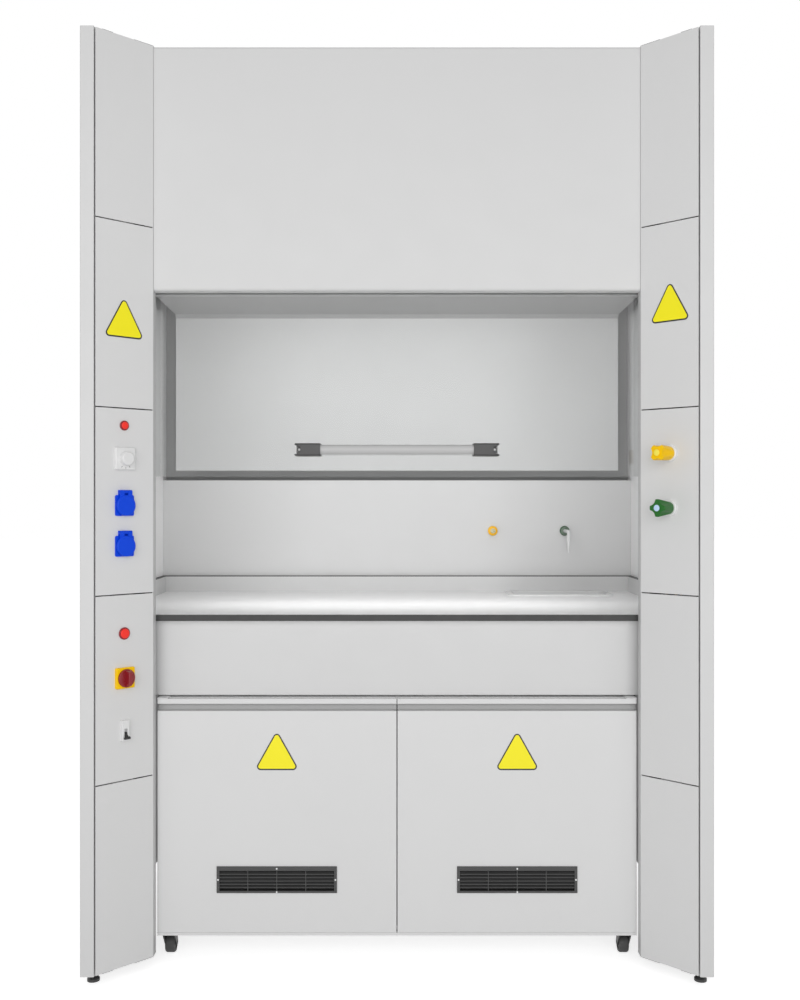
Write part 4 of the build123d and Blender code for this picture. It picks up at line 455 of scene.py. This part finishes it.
def floor_material():
    """Pale floor that shows white where it is fully lit and keeps the object's shadow."""
    material = bpy.data.materials.new("studio_floor")
    material.use_nodes = True
    nodes, links = material.node_tree.nodes, material.node_tree.links
    nodes.clear()
    plain = nodes.new("ShaderNodeBsdfDiffuse")
    plain.inputs["Color"].default_value = (0.75, 0.75, 0.75, 1)
    shown = nodes.new("ShaderNodeBsdfDiffuse")
    shown.inputs["Color"].default_value = (0.62, 0.62, 0.62, 1)
    lift = nodes.new("ShaderNodeEmission")
    lift.inputs["Strength"].default_value = 0.76
    added = nodes.new("ShaderNodeAddShader")
    links.new(shown.outputs[0], added.inputs[0])
    links.new(lift.outputs[0], added.inputs[1])
    mix = nodes.new("ShaderNodeMixShader")
    links.new(sees_background(nodes, links), mix.inputs["Fac"])
    links.new(plain.outputs[0], mix.inputs[1])
    links.new(added.outputs[0], mix.inputs[2])
    out = nodes.new("ShaderNodeOutputMaterial")
    links.new(mix.outputs[0], out.inputs["Surface"])
    return material


# A finish for each material slot of the record, and those that NODE_MATERIALS gives to nodes
MATERIALS = {
    "light_grey_paint": finished("light_grey_paint", grey(214), 0.5, mottle=0.008, patch=2.0),
    "dark_grey_paint": column_steel(),
    "liner_board": liner("liner_board", grey(214)),
    # liner_side is liner_board made paler, grey 250 against 214: painted light on the side
    # liners.
    "liner_side": liner("liner_side", grey(250)),
    "door_board": door_board(),
    "ceiling_board": ceiling_board(),
    "lined_sheet": lined_sheet(),
    # column_paint is the grey paint made a touch paler, 220 against 214: painted light on the
    # service panels.
    "column_paint": finished("column_paint", grey(220), 0.5, mottle=0.008, patch=2.0),
    "worktop_board": laminate("worktop_board", grey(247), grey(26), False),
    "upstand_board": laminate("upstand_board", grey(208), grey(26), True, UPSTAND_EDGE),
    # Grey 220, a touch paler than the grey paint of 214: painted light on the board.
    "grey_board": finished("grey_board", grey(220), 0.48, mottle=0.01, patch=2.5, grain=1600,
                           depth=0.00002),
    "frame_steel": finished("frame_steel", grey(140), 0.5, mottle=0.03),
    "galvanised": spangled("galvanised", grey(190)),
    "duct_plastic": finished("duct_plastic", grey(140), 0.5, mottle=0.03, speckle=0.2),
    "sink_plastic": finished("sink_plastic", grey(226), 0.4, mottle=0.012),
    "guide_aluminium": brushed("guide_aluminium", grey(205), 0.38, (1, 1, 0.02)),
    "lamp_body": finished("lamp_body", grey(228), 0.4, mottle=0.012),
    "valve_brass": brushed("valve_brass", srgb(190, 150, 80), 0.32, (1, 1, 0.2)),
    "black_plastic": finished("black_plastic", grey(38), 0.45, mottle=0.06, grain=2500),
    "dark_plastic": finished("dark_plastic", grey(62), 0.5, mottle=0.05, grain=2500),
    "white_plastic": finished("white_plastic", grey(228), 0.35, mottle=0.012, grain=2500,
                              depth=0.00002),
    "blue_plastic": finished("blue_plastic", srgb(8, 72, 225), 0.42, mottle=0.04, grain=2500,
                             specular=0.2),
    "red_plastic": finished("red_plastic", srgb(252, 58, 48), 0.35, mottle=0.03, grain=2500,
                            specular=0.25),
    "dark_red_plastic": finished("dark_red_plastic", srgb(140, 22, 32), 0.26, mottle=0.04,
                                 grain=2500, depth=0.00002),
    "yellow_plastic": finished("yellow_plastic", srgb(255, 205, 0), 0.42, mottle=0.03, grain=2500,
                               specular=0.2),
    "green_plastic": finished("green_plastic", srgb(38, 106, 40), 0.42, mottle=0.04, grain=2500,
                              specular=0.25),
    "clear_glass": sash_glass_material(),
    "handle_grey": finished("handle_grey", grey(188), 0.42, mottle=0.02, grain=2000),
    "slide_plastic": finished("slide_plastic", grey(205), 0.5, mottle=0.03),
    "rope_steel": brushed("rope_steel", grey(150), 0.4, (1, 1, 0.3)),
    "weight_steel": brushed("weight_steel", grey(105), 0.48, (1, 1, 0.05)),
    "caster_rubber": finished("caster_rubber", grey(66), 0.65, mottle=0.06, grain=1800),
    "caster_steel": finished("caster_steel", grey(72), 0.42, mottle=0.05, metallic=0.6),
    "gas_outlet_plastic": outlet_finish("gas_outlet_plastic", srgb(252, 192, 6),
                                        srgb(232, 226, 190)),
    "water_outlet_plastic": outlet_finish("water_outlet_plastic", srgb(36, 84, 42), grey(228)),
}
NODE_MATERIALS = {
    "upstand": "upstand_board",
    "side_liners": "liner_side",
    "upper_baffle": "ceiling_board",
    "back_panel": "lined_sheet",
    "cabinet_door_left": "door_board",
    "cabinet_door_right": "door_board",
    "service_panels_left": "column_paint",
    "service_panels_right": "column_paint",
    "gas_outlet": "gas_outlet_plastic",
    "water_outlet": "water_outlet_plastic",
}


def dress_nodes():
    """Gives each CAD node its own finish, or else that of its slot in the record."""
    for entry in frame["record"]["subparts"]:
        node = frame["nodes"][entry["node"]]
        material = MATERIALS[NODE_MATERIALS.get(entry["node"], entry["material_slot"])]
        node.data.materials.clear()
        node.data.materials.append(material)


# Pieces of the scene

def small_plastic(name, colour):
    return finished(name, colour, 0.35, mottle=0.02, grain=2500, depth=0.00001)


SIGN_BLACK = finished("sign_black", grey(30), 0.4, mottle=0.05, grain=2500)
SIGN_YELLOW = finished("sign_yellow", srgb(252, 240, 0), 0.4, mottle=0.01, grain=2500,
                       depth=0.00001)
SCREW_WHITE = small_plastic("screw_white", grey(235))
CAP_YELLOW = small_plastic("cap_yellow", srgb(255, 238, 85))
CAP_PALE = small_plastic("cap_pale", srgb(196, 222, 250))
MARK_GREY = finished("mark_grey", grey(110), 0.5, mottle=0.04, grain=2500, depth=0.00001)


def add_mesh(name, mesh_data, material, body):
    """Makes a piece that rides on a body, and frees the mesh data."""
    mesh = bpy.data.meshes.new(name)
    mesh_data.to_mesh(mesh)
    mesh_data.free()
    piece = bpy.data.objects.new(name, mesh)
    bpy.context.scene.collection.objects.link(piece)
    mesh.materials.append(material)
    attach(piece, body)


def face_matrix(side, height):
    """Place on a splayed face: X along it, Y up, Z outwards. Side is 1 on the right."""
    root = math.sqrt(0.5)
    across = Vector((root, -side * root, 0))
    outward = Vector((-side * root, -root, 0))
    matrix = Matrix((across, Vector((0, 0, 1)), outward)).transposed().to_4x4()
    matrix.translation = (side * FACE_X, FRONT + FACE_DEPTH, height)
    return matrix


def front_matrix(x, depth, height):
    """Place on a surface that faces the user: X to the right, Y up, Z towards the user."""
    matrix = Matrix(((1, 0, 0), (0, 0, -1), (0, 1, 0))).to_4x4()
    matrix.translation = (x, FRONT + depth, height)
    return matrix


def rounded_polygon(corners, radius, steps=8):
    """Corner points replaced by arcs, for corners in counter-clockwise order."""
    outline = []
    count = len(corners)
    for index, corner in enumerate(corners):
        here = Vector(corner)
        before = (Vector(corners[index - 1]) - here).normalized()
        after = (Vector(corners[(index + 1) % count]) - here).normalized()
        half = before.angle(after) / 2
        reach = radius / math.tan(half)
        centre = here + (before + after).normalized() * radius / math.sin(half)
        start = here + before * reach - centre
        end = here + after * reach - centre
        turn = start.angle_signed(end)
        for step in range(steps + 1):
            angle = -turn * step / steps
            spoke = Matrix.Rotation(angle, 2) @ start
            outline.append(tuple(centre + spoke))
    return outline


def plate_mesh(outline, low, high):
    """Flat plate between two heights."""
    mesh = bmesh.new()
    bottom = [mesh.verts.new((x, y, low)) for x, y in outline]
    top = [mesh.verts.new((x, y, high)) for x, y in outline]
    mesh.faces.new(list(reversed(bottom)))
    mesh.faces.new(top)
    count = len(outline)
    for index in range(count):
        follow = (index + 1) % count
        mesh.faces.new((bottom[index], bottom[follow], top[follow], top[index]))
    mesh.normal_update()
    return mesh


def triangle(width, height):
    """Corners of a triangle that stands on its base, about the middle of its box."""
    return [(-width / 2, -height / 2), (width / 2, -height / 2), (0, height / 2)]


def warning_plate(name, matrix, body):
    """Blank yellow triangle on a thin dark one that shows round it as a border."""
    outline = rounded_polygon(triangle(SIGN_WIDTH, SIGN_HEIGHT), SIGN_ROUND)
    back = plate_mesh(outline, 0.0001, SIGN_BACKING)
    back.transform(matrix)
    add_mesh(name + "_border", back, SIGN_BLACK, body)
    corners = triangle(SIGN_FACE_WIDTH, SIGN_FACE_HEIGHT)
    corners = [(x, y - SIGN_FACE_DROP) for x, y in corners]
    outline = rounded_polygon(corners, SIGN_FACE_ROUND)
    front = plate_mesh(outline, SIGN_BACKING, SIGN_THICKNESS)
    front.transform(matrix)
    add_mesh(name + "_face", front, SIGN_YELLOW, body)


def make_signs():
    warning_plate("sign_left_column", face_matrix(-1, LEFT_SIGN_Z), "frame")
    warning_plate("sign_right_column", face_matrix(1, RIGHT_SIGN_Z), "frame")
    for side, name in ((-1, "left"), (1, "right")):
        matrix = front_matrix(side * DOOR_SIGN_X, DOOR_FACE, DOOR_SIGN_Z)
        warning_plate("sign_door_" + name, matrix, "door_" + name)


def turned_mesh(profile, sides=32):
    """Solid of revolution about Z, with a ring of points for each radius and height."""
    mesh = bmesh.new()
    rings = []
    for radius, height in profile:
        ring = []
        for step in range(sides):
            angle = 2 * math.pi * step / sides
            x, y = radius * math.cos(angle), radius * math.sin(angle)
            ring.append(mesh.verts.new((x, y, height)))
        rings.append(ring)
    for low, high in zip(rings, rings[1:]):
        for step in range(sides):
            follow = (step + 1) % sides
            mesh.faces.new((low[step], low[follow], high[follow], high[step]))
    mesh.faces.new(list(reversed(rings[0])))
    mesh.faces.new(rings[-1])
    mesh.normal_update()
    return mesh


def knob_cap(name, height, body, material):
    """Slightly domed disc set on the end of a valve knob."""
    dome = [(0.0074, 0.0), (0.0078, 0.0003), (0.0074, 0.0007), (0.0055, 0.0010),
            (0.0030, 0.00115), (0.0008, 0.0012)]
    mesh = turned_mesh([(radius, KNOB_REACH + rise) for radius, rise in dome], 40)
    mesh.transform(face_matrix(1, height))
    add_mesh(name, mesh, material, body)


def screw(name, matrix, radius, body):
    """Socket-head screw, seen from the front."""
    profile = [(radius, 0.0), (radius, 0.0006), (radius * 0.88, 0.0010), (radius * 0.5, 0.0010),
               (radius * 0.45, 0.0004), (radius * 0.05, 0.0003)]
    mesh = turned_mesh(profile, 24)
    mesh.transform(matrix)
    add_mesh(name, mesh, SCREW_WHITE, body)


def make_screws():
    for side, name in ((-1, "left"), (1, "right")):
        spots = {
            "top": (GRILLE_X, GRILLE_TOP_SCREW_Z),
            "bottom": (GRILLE_X, GRILLE_BOTTOM_SCREW_Z),
            "inner": (GRILLE_X - GRILLE_SCREW_REACH, GRILLE_MIDDLE_SCREW_Z),
            "outer": (GRILLE_X + GRILLE_SCREW_REACH, GRILLE_MIDDLE_SCREW_Z),
        }
        for place, (x, height) in spots.items():
            matrix = front_matrix(side * x, GRILLE_FACE, height)
            title = "grille_screw_" + name + "_" + place
            screw(title, matrix, GRILLE_SCREW_RADIUS, "door_" + name)
        matrix = front_matrix(side * BRACKET_SCREW_X, BRACKET_POCKET, BRACKET_SCREW_Z)
        screw("bracket_screw_" + name, matrix, BRACKET_SCREW_RADIUS, "sash")


def make_knob_caps():
    knob_cap("gas_knob_cap", GAS_KNOB_Z, "gas_knob", CAP_YELLOW)
    knob_cap("water_knob_cap", WATER_KNOB_Z, "water_knob", CAP_PALE)


def make_dimmer_marks():
    """Three short strokes below the dimmer, in place of its printed scale."""
    x, y = MARK_HALF_WIDTH, MARK_HALF_LENGTH
    stroke = rounded_polygon([(-x, -y), (x, -y), (x, y), (-x, y)], MARK_ROUND, 4)
    for index, angle in enumerate(MARK_ANGLES):
        mesh = plate_mesh(stroke, DIMMER_FACE + 0.00002, DIMMER_FACE + 0.00017)
        turn = Matrix.Rotation(math.radians(angle), 4, "Z")
        mesh.transform(turn @ Matrix.Translation((0, -MARK_REACH, 0)))
        mesh.transform(face_matrix(-1, DIMMER_Z))
        add_mesh("dimmer_mark_" + str(index + 1), mesh, MARK_GREY, "frame")


def make_floor():
    """Studio floor that carries the shadow, apart from the object."""
    mesh = bmesh.new()
    bmesh.ops.create_grid(mesh, x_segments=1, y_segments=1, size=30)
    data = bpy.data.meshes.new("studio_floor")
    mesh.to_mesh(data)
    mesh.free()
    floor = bpy.data.objects.new("studio_floor", data)
    bpy.context.scene.collection.objects.link(floor)
    floor.data.materials.append(floor_material())
    floor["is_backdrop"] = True


make_camera()
bpy.context.scene.view_settings.view_transform = "Standard"
make_world(level=0.44)
make_lamps()
dress_nodes()
make_signs()
make_screws()
make_knob_caps()
make_dimmer_marks()
make_floor()
